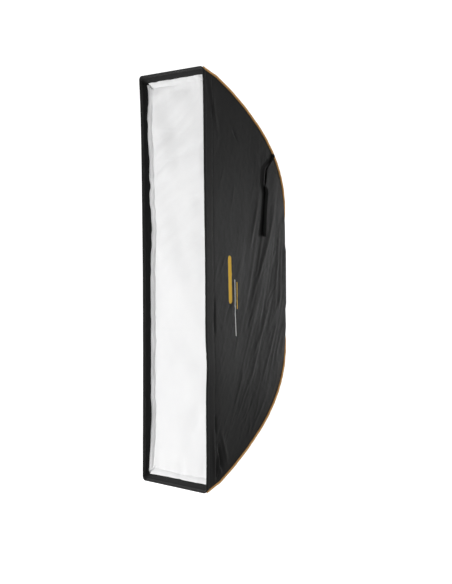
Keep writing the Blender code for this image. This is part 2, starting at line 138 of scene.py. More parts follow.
def noise(x, y, seed=0):
    """Smooth noise from -1 to 1."""
    x, y = np.broadcast_arrays(np.asarray(x, float), np.asarray(y, float))
    i, j = np.floor(x).astype(np.int64), np.floor(y).astype(np.int64)
    u, v = x - i, y - j
    u, v = u * u * u * (u * (u * 6 - 15) + 10), v * v * v * (v * (v * 6 - 15) + 10)
    low = lattice(i, j, seed) * (1 - u) + lattice(i + 1, j, seed) * u
    high = lattice(i, j + 1, seed) * (1 - u) + lattice(i + 1, j + 1, seed) * u
    return low * (1 - v) + high * v


def seam_y(z):
    """Where the seams are at that height, which is also the back of a side panel."""
    rise = np.maximum(0.0, np.abs(z) - FLAT_HALF) / (HALF_HEIGHT - FLAT_HALF)
    return BACK_Y - (BACK_Y - FRONT_Y) * rise**BOW_POWER


def seam_x(z):
    return HALF_WIDTH - SPLAY * (HALF_HEIGHT - np.abs(z))


def height_at(y):
    """Half the box's height at y, which is seam_y turned round."""
    share = np.clip((BACK_Y - y) / (BACK_Y - FRONT_Y), 0.0, 1.02)
    return FLAT_HALF + (HALF_HEIGHT - FLAT_HALF) * share ** (1 / BOW_POWER)


def rear_corner_x(z):
    """Where a side panel turns onto the back of the box."""
    a, b = seam_x(z), RING_SIDE_X
    return 0.5 * (a + b + np.sqrt((a - b) ** 2 + 0.010**2))


def wall_x(y, z):
    """Where a side panel's wall is at that depth and height."""
    run = np.maximum(seam_y(z) - FRONT_Y, TINY)
    return HALF_WIDTH + (rear_corner_x(z) - HALF_WIDTH) * np.clip((y - FRONT_Y) / run, 0.0, 1.0)


def mouth_corner(y):
    """Radius of the box's cross-section corners at y."""
    return MOUTH_CORNER * (1 - smoothstep(y, FRONT_Y + 0.01, FRONT_Y + MOUTH_CORNER_RUN))


# Making pieces


def in_scene(name, mesh):
    obj = bpy.data.objects.new(name, mesh)
    bpy.context.scene.collection.objects.link(obj)
    return obj


def unit(vectors):
    return vectors / np.linalg.norm(vectors, axis=-1, keepdims=True)


def both_ways(values):
    """Values that rise from 0, with the same ones below 0 before them."""
    return np.concatenate([-values[:0:-1], values])


def run_along(line):
    """How far along a line of points each point is."""
    return np.concatenate([[0.0], np.cumsum(np.linalg.norm(np.diff(line, axis=0), axis=1))])


def grid_piece(name, points, uv, material, wrap=False):
    """A mesh through a grid of points. wrap joins the last column to the first."""
    rows, columns = points.shape[:2]
    index = np.arange(rows * columns).reshape(rows, columns)
    faces = []
    last = columns if wrap else columns - 1
    for i in range(last):
        k = (i + 1) % columns
        faces.append(np.stack([index[:-1, i], index[:-1, k], index[1:, k], index[1:, i]], axis=1))
    faces = np.concatenate(faces)
    mesh = bpy.data.meshes.new(name)
    mesh.from_pydata(points.reshape(-1, 3).tolist(), [], faces.tolist())
    layer = mesh.uv_layers.new(name="cloth")
    corners = np.zeros(len(mesh.loops), np.int32)
    mesh.loops.foreach_get("vertex_index", corners)
    layer.data.foreach_set("uv", uv.reshape(-1, 2)[corners].astype(np.float32).ravel())
    mesh.shade_smooth()
    mesh.materials.append(material)
    return in_scene(name, mesh)


def triangle_area(a, b, c):
    return 0.5 * np.linalg.norm(np.cross(b - a, c - a), axis=-1)


def grid_area(points):
    a, b, c, d = points[:-1, :-1], points[:-1, 1:], points[1:, 1:], points[1:, :-1]
    return float((triangle_area(a, b, c) + triangle_area(a, c, d)).sum())


def normals_of(points, towards):
    """Unit normals of a grid of points, on the side of it that towards is on."""
    normal = np.cross(np.gradient(points, axis=1), np.gradient(points, axis=0))
    normal /= np.maximum(np.linalg.norm(normal, axis=2, keepdims=True), 1e-12)
    return normal * np.sign((normal * towards).sum(axis=2, keepdims=True) + 1e-9)


def closed_sheet(name, outer, normal, uv, thickness, materials, smooth=None):
    """A closed thin piece: the outer face is a grid of points with those normals, and the inner face
    lies thickness behind it, in the second material if there is one. smooth are the normals without
    wrinkles, if there are any, so that the two faces don't cross in a crease."""
    rows, columns = outer.shape[:2]
    total = rows * columns
    inner = outer - (normal if smooth is None else smooth) * thickness
    index = np.arange(total).reshape(rows, columns)
    quads = np.stack([index[:-1, :-1], index[:-1, 1:], index[1:, 1:], index[1:, :-1]], axis=-1)
    quads = quads.reshape(-1, 4)
    flat = outer.reshape(-1, 3)
    vertex = np.concatenate([flat, inner.reshape(-1, 3)])

    # A few faces in the middle say which way round the grid runs.
    middle = len(quads) // 2
    a, b, c = (flat[quads[middle - 3 : middle + 3, k]] for k in (0, 1, 2))
    facing = (np.cross(b - a, c - a) * normal.reshape(-1, 3)[quads[middle - 3 : middle + 3, 0]]).sum()
    if facing < 0:
        quads = quads[:, ::-1]
    edge = np.concatenate([index[0, :-1], index[:-1, -1], index[-1, :0:-1], index[:0:-1, 0]])
    following = np.roll(edge, -1)
    rim = np.stack([edge, following, following + total, edge + total], axis=-1)
    if facing > 0:
        rim = rim[:, ::-1]

    # The inner faces start at the same corner as the outer ones, so that both split along one diagonal.
    faces = np.concatenate([quads, quads[:, [0, 3, 2, 1]] + total, rim])
    mesh = bpy.data.meshes.new(name)
    mesh.from_pydata(vertex.tolist(), [], faces.tolist())
    for surface in materials:
        mesh.materials.append(surface)
    kind = np.zeros(len(faces), np.int32)
    if len(materials) > 1:
        kind[len(quads) : 2 * len(quads)] = 1
    mesh.polygons.foreach_set("material_index", kind)
    corner = faces.reshape(-1)
    layer = mesh.uv_layers.new(name="cloth")
    layer.data.foreach_set("uv", uv.reshape(-1, 2)[corner % total].astype(np.float32).ravel())
    mesh.shade_smooth()

    # The two faces are shaded by the cloth's own normals, and the rim square to them.
    p, q, r = (vertex[rim[:, k]] for k in (0, 1, 2))
    side = np.cross(q - p, r - p)
    side /= np.maximum(np.linalg.norm(side, axis=1, keepdims=True), 1e-12)
    both = np.concatenate([normal.reshape(-1, 3), -normal.reshape(-1, 3)])
    corners = np.concatenate([both[corner[: 8 * len(quads)]], np.repeat(side, 4, axis=0)])
    mesh.normals_split_custom_set(corners.tolist())
    return in_scene(name, mesh)


@contextmanager
def changed(obj):
    """The object's mesh, to be changed, after which all its faces are turned outwards."""
    mesh = bmesh.new()
    mesh.from_mesh(obj.data)
    yield mesh
    bmesh.ops.recalc_face_normals(mesh, faces=mesh.faces)
    mesh.to_mesh(obj.data)
    mesh.free()


def fill_ends(mesh, sides):
    """Fills the open ends of a tube, each with a face of that many sides at most."""
    bmesh.ops.holes_fill(mesh, edges=[e for e in mesh.edges if e.is_boundary], sides=sides)


def half_rows(grid):
    """For the upper and the lower half, its name, its end and its rows. Both have the middle row."""
    middle = len(grid) // 2
    return (("upper", 1, slice(middle, None)), ("lower", -1, slice(0, middle + 1)))


def declare(obj, width, length, area, held, slot, *nodes):
    """Hides those CAD nodes, which the sheet stands for."""
    if nodes:
        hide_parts(*nodes)


def bell(value, middle, width):
    """1 at the middle, falling to nothing on both sides."""
    return np.exp(-(((value - middle) / width) ** 2))


def pulled(points):
    """The sides of the mouth bowed a little to the right by the pull of the cloth, and its bottom down."""
    x, y, z = points.T
    near = 1 - smoothstep(y, FRONT_Y + PULL_FROM, FRONT_Y + PULL_TO)
    at_tip = smoothstep(np.abs(z), 0.60, 0.71)
    near_left = 1 - smoothstep(y, FRONT_Y + PULL_FROM, FRONT_Y + PULL_TO - TIP_PULL * at_tip)
    from_peak = z - LEFT_PEAK_Z
    above, below = np.abs(from_peak / 0.67) ** 5, np.abs(from_peak / 0.72) ** 1.6
    left = LEFT_BOW * (1 - np.where(from_peak > 0, above, below))
    right = RIGHT_BOW + 0.0020 * bell(z, 0.05, 0.15) + 0.0055 * bell(z, -0.31, 0.075)
    right *= 1 - np.minimum(np.abs(z / MOUTH_END_Z), 1.0) ** 14
    share = np.clip(x / (2 * HALF_WIDTH) + 0.5, 0.0, 1.0)
    down = BOTTOM_DROP * smoothstep(-z, 0.60, 0.755)
    across = near_left * left * (1 - share) + near * right * share
    return np.stack([x + across, y, z - near * down], axis=1)


def with_rods(obj):
    """Moves obj's points by the pull of the cloth on the mouth, and bakes its transform into its mesh."""
    co = np.zeros(len(obj.data.vertices) * 3, np.float32)
    obj.data.vertices.foreach_get("co", co)
    obj.data.vertices.foreach_set("co", pulled(co.reshape(-1, 3)).astype(np.float32).ravel())
    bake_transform(obj)
    co = np.zeros(len(obj.data.vertices) * 3, np.float32)
    obj.data.vertices.foreach_get("co", co)
    return obj


# Materials


class Nodes:
    """A short way to write a node tree."""

    def __init__(self, name):
        self.material = bpy.data.materials.new(name)
        self.material.use_nodes = True
        self.tree = self.material.node_tree
        self.shader = self.tree.nodes["Principled BSDF"]

    def add(self, kind, **settings):
        node = self.tree.nodes.new("ShaderNode" + kind)
        for key, value in settings.items():
            setattr(node, key, value)
        return node

    def link(self, output, target):
        self.tree.links.new(output, target)

    def set(self, **values):
        for key, value in values.items():
            self.shader.inputs[key.replace("_", " ")].default_value = value

    def uv(self):
        return self.add("UVMap", uv_map="cloth").outputs["UV"]

    def place(self):
        return self.add("TexCoord").outputs["Object"]

    def scaled(self, vector, scale):
        node = self.add("Mapping")
        node.inputs["Scale"].default_value = scale
        self.link(vector, node.inputs["Vector"])
        return node.outputs["Vector"]

    def noise(self, vector, scale, detail=2.0, roughness=0.5):
        node = self.add("TexNoise")
        node.inputs["Scale"].default_value = scale
        node.inputs["Detail"].default_value = detail
        node.inputs["Roughness"].default_value = roughness
        self.link(vector, node.inputs["Vector"])
        return node.outputs["Fac"]

    def wave(self, vector, scale, direction="X", distortion=0.0):
        node = self.add("TexWave", wave_type="BANDS", bands_direction=direction, wave_profile="SIN")
        node.inputs["Scale"].default_value = scale
        node.inputs["Distortion"].default_value = distortion
        self.link(vector, node.inputs["Vector"])
        return node.outputs["Fac"]

    def math(self, operation, a, b=0.0):
        node = self.add("Math", operation=operation)
        for socket, value in zip(node.inputs, (a, b)):
            if isinstance(value, (int, float)):
                socket.default_value = value
            else:
                self.link(value, socket)
        return node.outputs[0]

    def blended(self, a, share_a, b, share_b):
        """Two values added, each in that share."""
        return self.math("ADD", self.math("MULTIPLY", a, share_a), self.math("MULTIPLY", b, share_b))

    def from_to(self, value, low, rise):
        """low where value is 0, and rise more where it is 1."""
        return self.math("ADD", low, self.math("MULTIPLY", value, rise))

    def ramp(self, value, stops):
        node = self.add("ValToRGB")
        ramp = node.color_ramp
        while len(ramp.elements) < len(stops):
            ramp.elements.new(0.5)
        for element, (place, colour) in zip(ramp.elements, stops):
            element.position = place
            element.color = (*colour, 1.0) if isinstance(colour, tuple) else (colour, colour, colour, 1.0)
        self.link(value, node.inputs["Fac"])
        return node.outputs["Color"]

    def bump(self, height, distance, strength=1.0, before=None):
        node = self.add("Bump")
        node.inputs["Distance"].default_value = distance
        node.inputs["Strength"].default_value = strength
        self.link(height, node.inputs["Height"])
        if before is not None:
            self.link(before, node.inputs["Normal"])
        return node.outputs["Normal"]

    def finish(self, colour=None, roughness=None, normal=None):
        if colour is not None:
            self.link(colour, self.shader.inputs["Base Color"])
        if roughness is not None:
            self.link(roughness, self.shader.inputs["Roughness"])
        if normal is not None:
            self.link(normal, self.shader.inputs["Normal"])
        return self.material


def weave(nodes, vector, threads_per_m):
    """Height of a plain weave with that many threads to the metre each way."""
    scale = threads_per_m / 2 / BANDS_PER_SCALE
    warp = nodes.wave(vector, scale, "X")
    weft = nodes.wave(vector, scale, "Y")
    over = nodes.math("MULTIPLY", warp, weft)
    under = nodes.math("MULTIPLY", nodes.math("SUBTRACT", 1.0, warp), nodes.math("SUBTRACT", 1.0, weft))
    return nodes.math("MAXIMUM", over, under)


def bar_mask(n, along, across, middle, half_length, half_width):
    """1 inside a bar with round ends whose middle is at (across, along)."""
    straight = half_length - half_width
    down = n.math("SUBTRACT", n.math("ABSOLUTE", n.math("SUBTRACT", along, middle[1])), straight)
    aside = n.math("SUBTRACT", across, middle[0])
    down = n.math("MAXIMUM", down, 0.0)
    squares = n.math("ADD", n.math("MULTIPLY", down, down), n.math("MULTIPLY", aside, aside))
    return n.math("LESS_THAN", n.math("SQRT", squares), half_width)


def printed(n, uv, colour):
    """Three plain bars printed along the panel, two golden and one white, slightly rubbed."""
    split = n.add("SeparateXYZ")
    n.link(uv, split.inputs[0])
    lean = n.math("ADD", split.outputs["X"], n.math("MULTIPLY", split.outputs["Y"], 0.03))
    rub = n.from_to(n.noise(uv, 420.0, 4.0, 0.7), 0.86, 0.2)
    for middle, half_length, half_width, ink in PRINT:
        mask = bar_mask(n, split.outputs["Y"], lean, middle, half_length, half_width)
        mix = n.add("Mix", data_type="RGBA")
        n.link(n.math("MULTIPLY", mask, rub), mix.inputs["Factor"])
        n.link(colour, mix.inputs["A"])
        mix.inputs["B"].default_value = (*ink, 1.0)
        colour = mix.outputs["Result"]
    return colour


def black_nylon(marked=False):
    """The outside of the shell: woven nylon with slubs, uneven dye and a faint crinkle."""
    n = Nodes("printed_black_nylon" if marked else "black_nylon")
    uv = n.uv()
    n.set(Metallic=0.0, IOR=1.5, Specular_IOR_Level=0.28, Sheen_Weight=0.03, Sheen_Roughness=0.45)
    threads = weave(n, uv, 1500)
    cloud = n.noise(uv, 9.0, 4.0, 0.6)
    slub = n.noise(n.scaled(uv, (240.0, 9.0, 1.0)), 1.0, 3.0, 0.6)
    tone = n.blended(cloud, 0.65, slub, 0.35)
    colour = n.ramp(tone, [(0.30, (0.0066, 0.0066, 0.0066)), (0.72, (0.0125, 0.0125, 0.0123))])
    rough = n.from_to(cloud, 0.44, 0.18)
    fine = n.bump(threads, 0.00012, 0.55)
    crinkle = n.noise(uv, 55.0, 5.0, 0.62)
    if marked:
        colour = printed(n, uv, colour)
    return n.finish(colour, rough, n.bump(crinkle, 0.0011, 0.5, fine))


def silver_lining():
    n = Nodes("silver_lining")
    uv = n.uv()
    n.set(Metallic=0.9, IOR=1.45)
    ripple = n.wave(uv, 14.0, "DIAGONAL", 3.0)
    dent = n.noise(uv, 130.0, 3.0)
    tone = n.blended(ripple, 0.4, dent, 0.6)
    colour = n.ramp(tone, [(0.2, (0.56, 0.57, 0.59)), (0.8, (0.80, 0.81, 0.83))])
    return n.finish(colour, n.from_to(dent, 0.30, 0.2), n.bump(tone, 0.0008, 0.8))


def white_nylon():
    n = Nodes("white_nylon")
    uv = n.uv()
    n.set(IOR=1.45, Specular_IOR_Level=0.35, Sheen_Weight=0.15, Sheen_Roughness=0.4)
    threads = weave(n, uv, 1300)
    cloud = n.noise(uv, 5.0, 3.0, 0.55)
    grain = n.noise(uv, 260.0, 2.0)
    tone = n.blended(cloud, 0.8, grain, 0.2)
    colour = n.ramp(tone, [(0.3, (0.80, 0.80, 0.805)), (0.7, (0.86, 0.86, 0.86))])
    rough = n.from_to(cloud, 0.55, 0.1)
    fine = n.bump(threads, 0.00010, 0.4)
    return n.finish(colour, rough, n.bump(n.noise(uv, 40.0, 4.0, 0.6), 0.0006, 0.4, fine))


def webbing():
    """Ribbed black tape."""
    ribs_per_m, cross_ribs_per_m = 210, 336
    n = Nodes("black_webbing")
    uv = n.uv()
    n.set(IOR=1.5, Specular_IOR_Level=0.3, Sheen_Weight=0.08, Sheen_Roughness=0.5)
    rib = n.wave(uv, ribs_per_m / BANDS_PER_SCALE, "X")
    cross = n.wave(uv, cross_ribs_per_m / BANDS_PER_SCALE, "Y")
    height = n.blended(rib, 0.7, cross, 0.3)
    cloud = n.noise(uv, 30.0, 4.0, 0.6)
    colour = n.ramp(cloud, [(0.3, 0.008), (0.7, 0.018)])
    return n.finish(colour, n.from_to(cloud, 0.6, 0.2), n.bump(height, 0.0004, 0.8))


def loop_pile(name, dark, light, gloss):
    """The fuzzy side, and the hooked side, of hook-and-loop tape."""
    n = Nodes(name)
    uv = n.uv()
    n.set(IOR=1.4, Specular_IOR_Level=gloss, Sheen_Weight=gloss * 0.3, Sheen_Roughness=0.6)
    fuzz = n.noise(uv, 900.0, 4.0, 0.7)
    clump = n.noise(uv, 120.0, 3.0, 0.6)
    height = n.blended(fuzz, 0.6, clump, 0.4)
    colour = n.ramp(height, [(0.3, dark), (0.7, light)])
    return n.finish(colour, n.from_to(clump, 0.8, 0.15), n.bump(height, 0.0012, 0.9))


def cord_braid():
    """The twisted orange cord of the piping."""
    n = Nodes("orange_cord")
    uv = n.uv()
    n.set(IOR=1.5, Specular_IOR_Level=0.45, Sheen_Weight=0.25, Sheen_Roughness=0.4)
    twist = n.wave(uv, 70.0, "DIAGONAL")
    cloud = n.noise(uv, 25.0, 3.0)
    tone = n.blended(twist, 0.5, cloud, 0.5)
    stops = [(0.15, (0.68, 0.31, 0.08)), (0.6, (0.95, 0.52, 0.17)), (0.95, (0.98, 0.66, 0.30))]
    return n.finish(n.ramp(tone, stops), n.from_to(cloud, 0.48, 0.15), n.bump(twist, 0.0003, 0.6))


def thread(name, colour):
    n = Nodes(name)
    place = n.place()
    n.set(IOR=1.5, Specular_IOR_Level=0.5, Sheen_Weight=0.2)
    twist = n.noise(place, 2500.0, 2.0)
    shade = tuple(c * 0.7 for c in colour)
    return n.finish(n.ramp(twist, [(0.3, shade), (0.7, colour)]), n.from_to(twist, 0.45, 0.2))


def painted_metal():
    n = Nodes("black_coated_metal")
    place = n.place()
    n.set(Metallic=0.35, IOR=1.5, Specular_IOR_Level=0.5, Coat_Weight=0.12, Coat_Roughness=0.35)
    orange_peel = n.noise(place, 1400.0, 3.0)
    scuff = n.noise(place, 60.0, 5.0, 0.7)
    scratch = n.noise(n.scaled(place, (1.0, 0.25, 9.0)), 160.0, 3.0, 0.7)
    tone = n.blended(scuff, 0.6, scratch, 0.4)
    stops = [(0.30, (0.012, 0.012, 0.013)), (0.62, (0.026, 0.026, 0.028)), (0.80, (0.060, 0.060, 0.060))]
    return n.finish(n.ramp(tone, stops), n.from_to(scuff, 0.30, 0.3), n.bump(orange_peel, 0.00012, 0.5))


def machined_aluminium():
    n = Nodes("machined_aluminium")
    place = n.place()
    n.set(Metallic=1.0, Anisotropic=0.4)
    lines = n.wave(place, 1800.0, "Y", 0.6)
    smear = n.noise(place, 90.0, 4.0, 0.6)
    colour = n.ramp(smear, [(0.3, (0.60, 0.61, 0.62)), (0.7, (0.78, 0.79, 0.80))])
    return n.finish(colour, n.from_to(smear, 0.22, 0.22), n.bump(lines, 0.00005, 0.35))


def moulded_plastic():
    n = Nodes("moulded_black_plastic")
    place = n.place()
    n.set(IOR=1.5, Specular_IOR_Level=0.5)
    spark = n.noise(place, 2600.0, 2.0)
    cloud = n.noise(place, 60.0, 4.0)
    colour = n.ramp(cloud, [(0.3, (0.014, 0.014, 0.015)), (0.7, (0.030, 0.030, 0.031))])
    return n.finish(colour, n.from_to(cloud, 0.40, 0.2), n.bump(spark, 0.00015, 0.7))


def spring_steel():
    n = Nodes("drawn_spring_steel")
    place = n.place()
    n.set(Metallic=1.0)
    drawn = n.noise(n.scaled(place, (1.0, 1.0, 0.02)), 3000.0, 2.0)
    stain = n.noise(place, 45.0, 5.0, 0.65)
    colour = n.ramp(stain, [(0.3, (0.30, 0.30, 0.31)), (0.7, (0.52, 0.52, 0.53))])
    return n.finish(colour, n.from_to(stain, 0.24, 0.25), n.bump(drawn, 0.00006, 0.5))


def rubber():
    n = Nodes("matt_rubber")
    place = n.place()
    n.set(IOR=1.5, Specular_IOR_Level=0.25)
    grain = n.noise(place, 900.0, 4.0, 0.6)
    dust = n.noise(place, 70.0, 4.0, 0.7)
    colour = n.ramp(dust, [(0.35, (0.012, 0.012, 0.012)), (0.75, (0.045, 0.044, 0.042))])
    return n.finish(colour, n.from_to(dust, 0.78, 0.15), n.bump(grain, 0.0002, 0.6))


GOLD_INK = (0.99, 0.60, 0.04)
WHITE_INK = (0.86, 0.86, 0.85)

# Each printed bar: its middle as (distance from the front edge, height), half length, half width, ink.
PRINT = [
    ((0.150, 0.000), 0.088, 0.0105, GOLD_INK),
    ((0.180, -0.105), 0.105, 0.0022, WHITE_INK),
    ((0.194, -0.060), 0.050, 0.0022, GOLD_INK),
]

NYLON = black_nylon()
PRINTED_NYLON = black_nylon(marked=True)
LINING = silver_lining()
WHITE = white_nylon()
TAPE = webbing()
PILE = loop_pile("black_loop_pile", 0.008, 0.017, 0.2)
HOOKS = loop_pile("black_hook_tape", 0.002, 0.005, 0.06)
CORD = cord_braid()
BLACK_THREAD = thread("black_thread", (0.05, 0.05, 0.052))
METAL = painted_metal()
ALUMINIUM = machined_aluminium()
PLASTIC = moulded_plastic()
STEEL = spring_steel()
RUBBER = rubber()


# The shell


def crease(d, z, start, end, width, height, bend):
    """A ridge from start to end, each (depth, z), steeper on its lower side, fading at both ends."""
    a, b = np.array(start), np.array(end)
    run = b - a
    length = np.hypot(*run)
    way = run / length
    along = (d - a[0]) * way[0] + (z - a[1]) * way[1]
    t = np.clip(along / length, 0.0, 1.0)
    away = (d - a[0]) * -way[1] + (z - a[1]) * way[0] - bend * 4 * t * (1 - t)
    past = np.abs(along - t * length)
    sharp = np.where(away > 0, width, width * 0.55)
    profile = np.exp(-((away / sharp) ** 2) - (past / width) ** 2)
    return height * profile * np.sin(math.pi * np.clip(t, 0.04, 0.96)) ** 0.6


def drape(d, z, side):
    """How far the cloth of a side panel stands out of its ideal surface. Its folds run down and
    forwards from the ring, and are deepest behind and below it."""
    seed = 11 if side > 0 else 47
    flow = 0.32 * z - 0.275 * z**2
    across = d - flow * (1 - 0.6 * (d / 0.515) ** 4) + 0.010 * noise(d * 4, z * 4, seed)
    rear = smoothstep(d, 0.12, 0.42) * (1 - 0.55 * smoothstep(np.abs(z), 0.25, 0.62))
    low = 1 - 0.55 * smoothstep(z, -0.1, 0.35)
    broad = noise(across / 0.060, z / 0.34, seed + 1)
    streak = 1 - 2.2 * np.abs(noise(across / 0.034, z / 0.26, seed + 2))
    fine = 1 - 2.2 * np.abs(noise(across / 0.015, z / 0.13, seed + 3))
    crinkle = noise(d / 0.011, z / 0.016, seed + 4)
    billow = noise(d / 0.21, z / 0.30, seed + 5)
    total = broad * 0.0026 * (0.35 + rear)
    total += np.maximum(streak, -0.3) * 0.0012 * (0.22 + rear) * (0.5 + 0.5 * low)
    total += np.maximum(fine, -0.4) * 0.0009 * (0.20 + rear) * (0.4 + 0.6 * low)
    total *= 1 - 0.35 * smoothstep(z, 0.10, 0.45)
    total += crinkle * 0.00030
    total += 0.004 * billow
    return total + small_creases(d, z, seed)


def small_creases(d, z, seed):
    """Short creases that run down and forwards, most of them behind and below the ring. Each try
    draws all its numbers, whether its crease is kept or not."""
    rng = np.random.default_rng(seed)
    total = np.zeros_like(d)
    for _ in range(CREASE_TRIES):
        z0 = rng.uniform(-0.58, 0.50)
        deepest = float(seam_y(z0)) - FRONT_Y - 0.03
        d0 = rng.uniform(0.07, max(0.10, deepest))
        keep = rng.uniform() < (0.35 + 0.65 * d0 / 0.5) * (1.0 if z0 < 0.12 else 0.45)
        lean = math.radians(rng.normal(27 if z0 < 0.15 else 13, 6))
        length = rng.uniform(0.035, 0.125)
        height = rng.uniform(0.0004, 0.0014) * (1 if rng.uniform() < 0.7 else -1)
        width = rng.uniform(0.0028, 0.0060)
        bend = rng.normal(0.0, 0.006)
        if not keep:
            continue
        end = (d0 - length * math.sin(lean), z0 - length * math.cos(lean))
        box = np.abs(z - (z0 + end[1]) / 2) < length / 2 + 0.03
        total[box] += crease(d[box], z[box], (d0, z0), end, width, height, bend)
    return total


# The creases of the right side panel, listed one by one: 1 for a ridge or -1 for a groove, its
# start and its end as (distance behind the front edge, height), then its width, height and bend.
SIDE_CREASES = [
    (-1, (0.012, 0.735), (0.048, 0.575), 0.0080, 0.0036, 0.0),
    (1, (0.034, 0.700), (0.078, 0.520), 0.0120, 0.0030, 0.0),
    (-1, (0.165, 0.548), (0.192, 0.508), 0.0060, 0.0034, 0.0),
    (-1, (0.0500, -0.050), (0.0520, -0.205), 0.0036, 0.0056, 0.0),
    (-1, (0.0470, -0.485), (0.0500, -0.560), 0.0040, 0.0050, 0.0),
    (-1, (0.0620, -0.600), (0.0860, -0.690), 0.0090, 0.0120, 0.0),
    (1, (0.0800, -0.560), (0.1120, -0.670), 0.0110, 0.0040, 0.0),
    (-1, (0.0760, -0.660), (0.0560, -0.738), 0.0070, 0.0070, 0.0),
    (-1, (0.0520, -0.640), (0.0540, -0.738), 0.0050, 0.0070, 0.0),
    (1, (0.0640, -0.600), (0.0640, -0.720), 0.0050, 0.0030, 0.0),
    (1, (0.0340, -0.540), (0.0420, -0.720), 0.0100, 0.0030, 0.0),
    (1, (0.440, 0.300), (0.330, -0.010), 0.0100, 0.0024, 0.012),
    (1, (0.470, 0.200), (0.440, -0.120), 0.0090, 0.0024, 0.010),
    (1, (0.490, 0.120), (0.465, -0.150), 0.0070, 0.0020, 0.006),
    (1, (0.385, 0.150), (0.280, -0.110), 0.0085, 0.0021, 0.010),
    (1, (0.330, 0.300), (0.285, 0.120), 0.0080, 0.0018, 0.0),
    (1, (0.420, -0.060), (0.300, -0.290), 0.0090, 0.0023, 0.008),
    (1, (0.455, -0.150), (0.345, -0.380), 0.0085, 0.0021, 0.008),
    (1, (0.340, -0.240), (0.220, -0.440), 0.0085, 0.0021, 0.008),
    (1, (0.230, -0.330), (0.150, -0.500), 0.0075, 0.0020, 0.0),
]


def side_marks(d, z):
    """The height of all of them together."""
    total = np.zeros_like(d)
    for sign, start, end, width, height, bend in SIDE_CREASES:
        total += sign * crease(d, z, start, end, width, height, bend)
    return total


def rear_end_x(z):
    """Where a side panel ends on the back: at the seam, or at the edge of the rear opening."""
    if abs(z) >= OPENING_HALF_Z:
        return float(seam_x(z))
    narrow = float(seam_x(OPENING_HALF_Z))
    into = max(0.0, abs(z) - (OPENING_HALF_Z - OPENING_CORNER)) / OPENING_CORNER
    return narrow + (OPENING_HALF_X - narrow) * math.sqrt(1 - into**2)


def side_grid():
    """Points of a whole side panel, as rows of level lines from its bottom to its top."""
    turn_radius, end_gap = 0.008, 0.0005
    rising = (HALF_HEIGHT - end_gap) * np.linspace(0.0, 1.0, SIDE_ROWS) ** 0.92
    heights = both_ways(rising)
    points = np.zeros((len(heights), WALL_COLUMNS + TURN_COLUMNS + FLAP_COLUMNS, 3))
    front = np.array([HALF_WIDTH, FRONT_Y])
    for i, z in enumerate(heights):
        back = seam_y(z)
        corner = np.array([rear_corner_x(z), back])
        end = np.array([rear_end_x(z), back])
        spare = max(np.linalg.norm(corner - end), TINY)
        length = max(np.linalg.norm(front - corner), 1e-9)
        turn = min(turn_radius, spare * 0.6)
        first = corner + (front - corner) / length * min(turn * 1.6, 0.45 * length)
        last = corner + (end - corner) / spare * turn
        s = np.linspace(0.0, 1.0, TURN_COLUMNS + 1)[1:, None]
        bend = first * (1 - s) ** 2 + corner * 2 * s * (1 - s) + last * s**2
        wall = front + (first - front) * np.linspace(0.0, 1.0, WALL_COLUMNS)[:, None]
        flap = last + (end - last) * np.linspace(0.0, 1.0, FLAP_COLUMNS + 1)[1:, None]
        points[i, :, :2] = np.concatenate([wall, bend, flap])
        points[i, :, 2] = z
    return points


def round_corner(points, on_side):
    """Turns the box's edges round near the mouth. on_side is true for the points of a side panel,
    and false for those of the top or the bottom panel."""
    y, z = points[..., 1], points[..., 2]
    radius = mouth_corner(y)
    top = height_at(y)
    sign_x, sign_z = np.sign(points[..., 0]), np.sign(z)
    wide = np.where(on_side, np.abs(points[..., 0]), wall_x(y, top))
    gap = top - np.abs(z) if on_side else wide - np.abs(points[..., 0])
    near = (gap < radius) & (radius > 1e-5)
    angle = (1 - np.clip(gap, 0.0, None) / np.maximum(radius, TINY)) * math.pi / 4
    flat, turned = radius * (1 - np.cos(angle)), radius * (1 - np.sin(angle))
    if on_side:
        new_x, new_z = wide - flat, top - turned
    else:
        new_x, new_z = wide - turned, np.abs(z) - flat
    points[..., 0] = np.where(near, sign_x * new_x, points[..., 0])
    points[..., 2] = np.where(near, sign_z * new_z, z)
    return points


def along_row(points, run, target):
    """The point of each row of the grid where its run reaches the row's target."""
    out = np.zeros((len(points), 3))
    for i in range(len(points)):
        for k in range(3):
            out[i, k] = np.interp(target[i], run[i], points[i, :, k])
    return out


def side_lift(side, run, depth, z, to_seam):
    """How far a side panel's points stand out of the ideal surface."""
    from_end = run[:, -1:] - run

    # The cloth is held at its seams, at the front edge and, beside the opening, where it turns.
    free = 0.25 * smoothstep(depth, 0.006, 0.030) + 0.75 * smoothstep(depth, 0.042, 0.085)
    free = free * smoothstep(to_seam, 0.0, 0.05) * smoothstep(from_end, 0.0, 0.03)
    turning = run[:, ON_TURN, None]
    free *= 1 - 0.85 * bell(run, turning, 0.016) * (1 - smoothstep(np.abs(z), 0.14, 0.20))
    lift = drape(run, z, side) * free
    if side > 0:
        lift += side_marks(run, z) * smoothstep(to_seam, 0.0, 0.02)
    lift -= SEAM_DIP * bell(run, SEAM_DEPTH, SEAM_DIP_WIDTH) * smoothstep(to_seam, 0.0, 0.03)

    # Over the lip it can't sink far, since the tape lies behind it.
    lift = np.maximum(lift, -0.0018 - 0.02 * smoothstep(depth, 0.038, 0.070))
    gather = GATHER * noise(z / GATHER_PITCH, run * 0, 71) * bell(from_end, 0.0, GATHER_RUN)
    return lift + gather * (1 - smoothstep(np.abs(z), 0.11, 0.15))


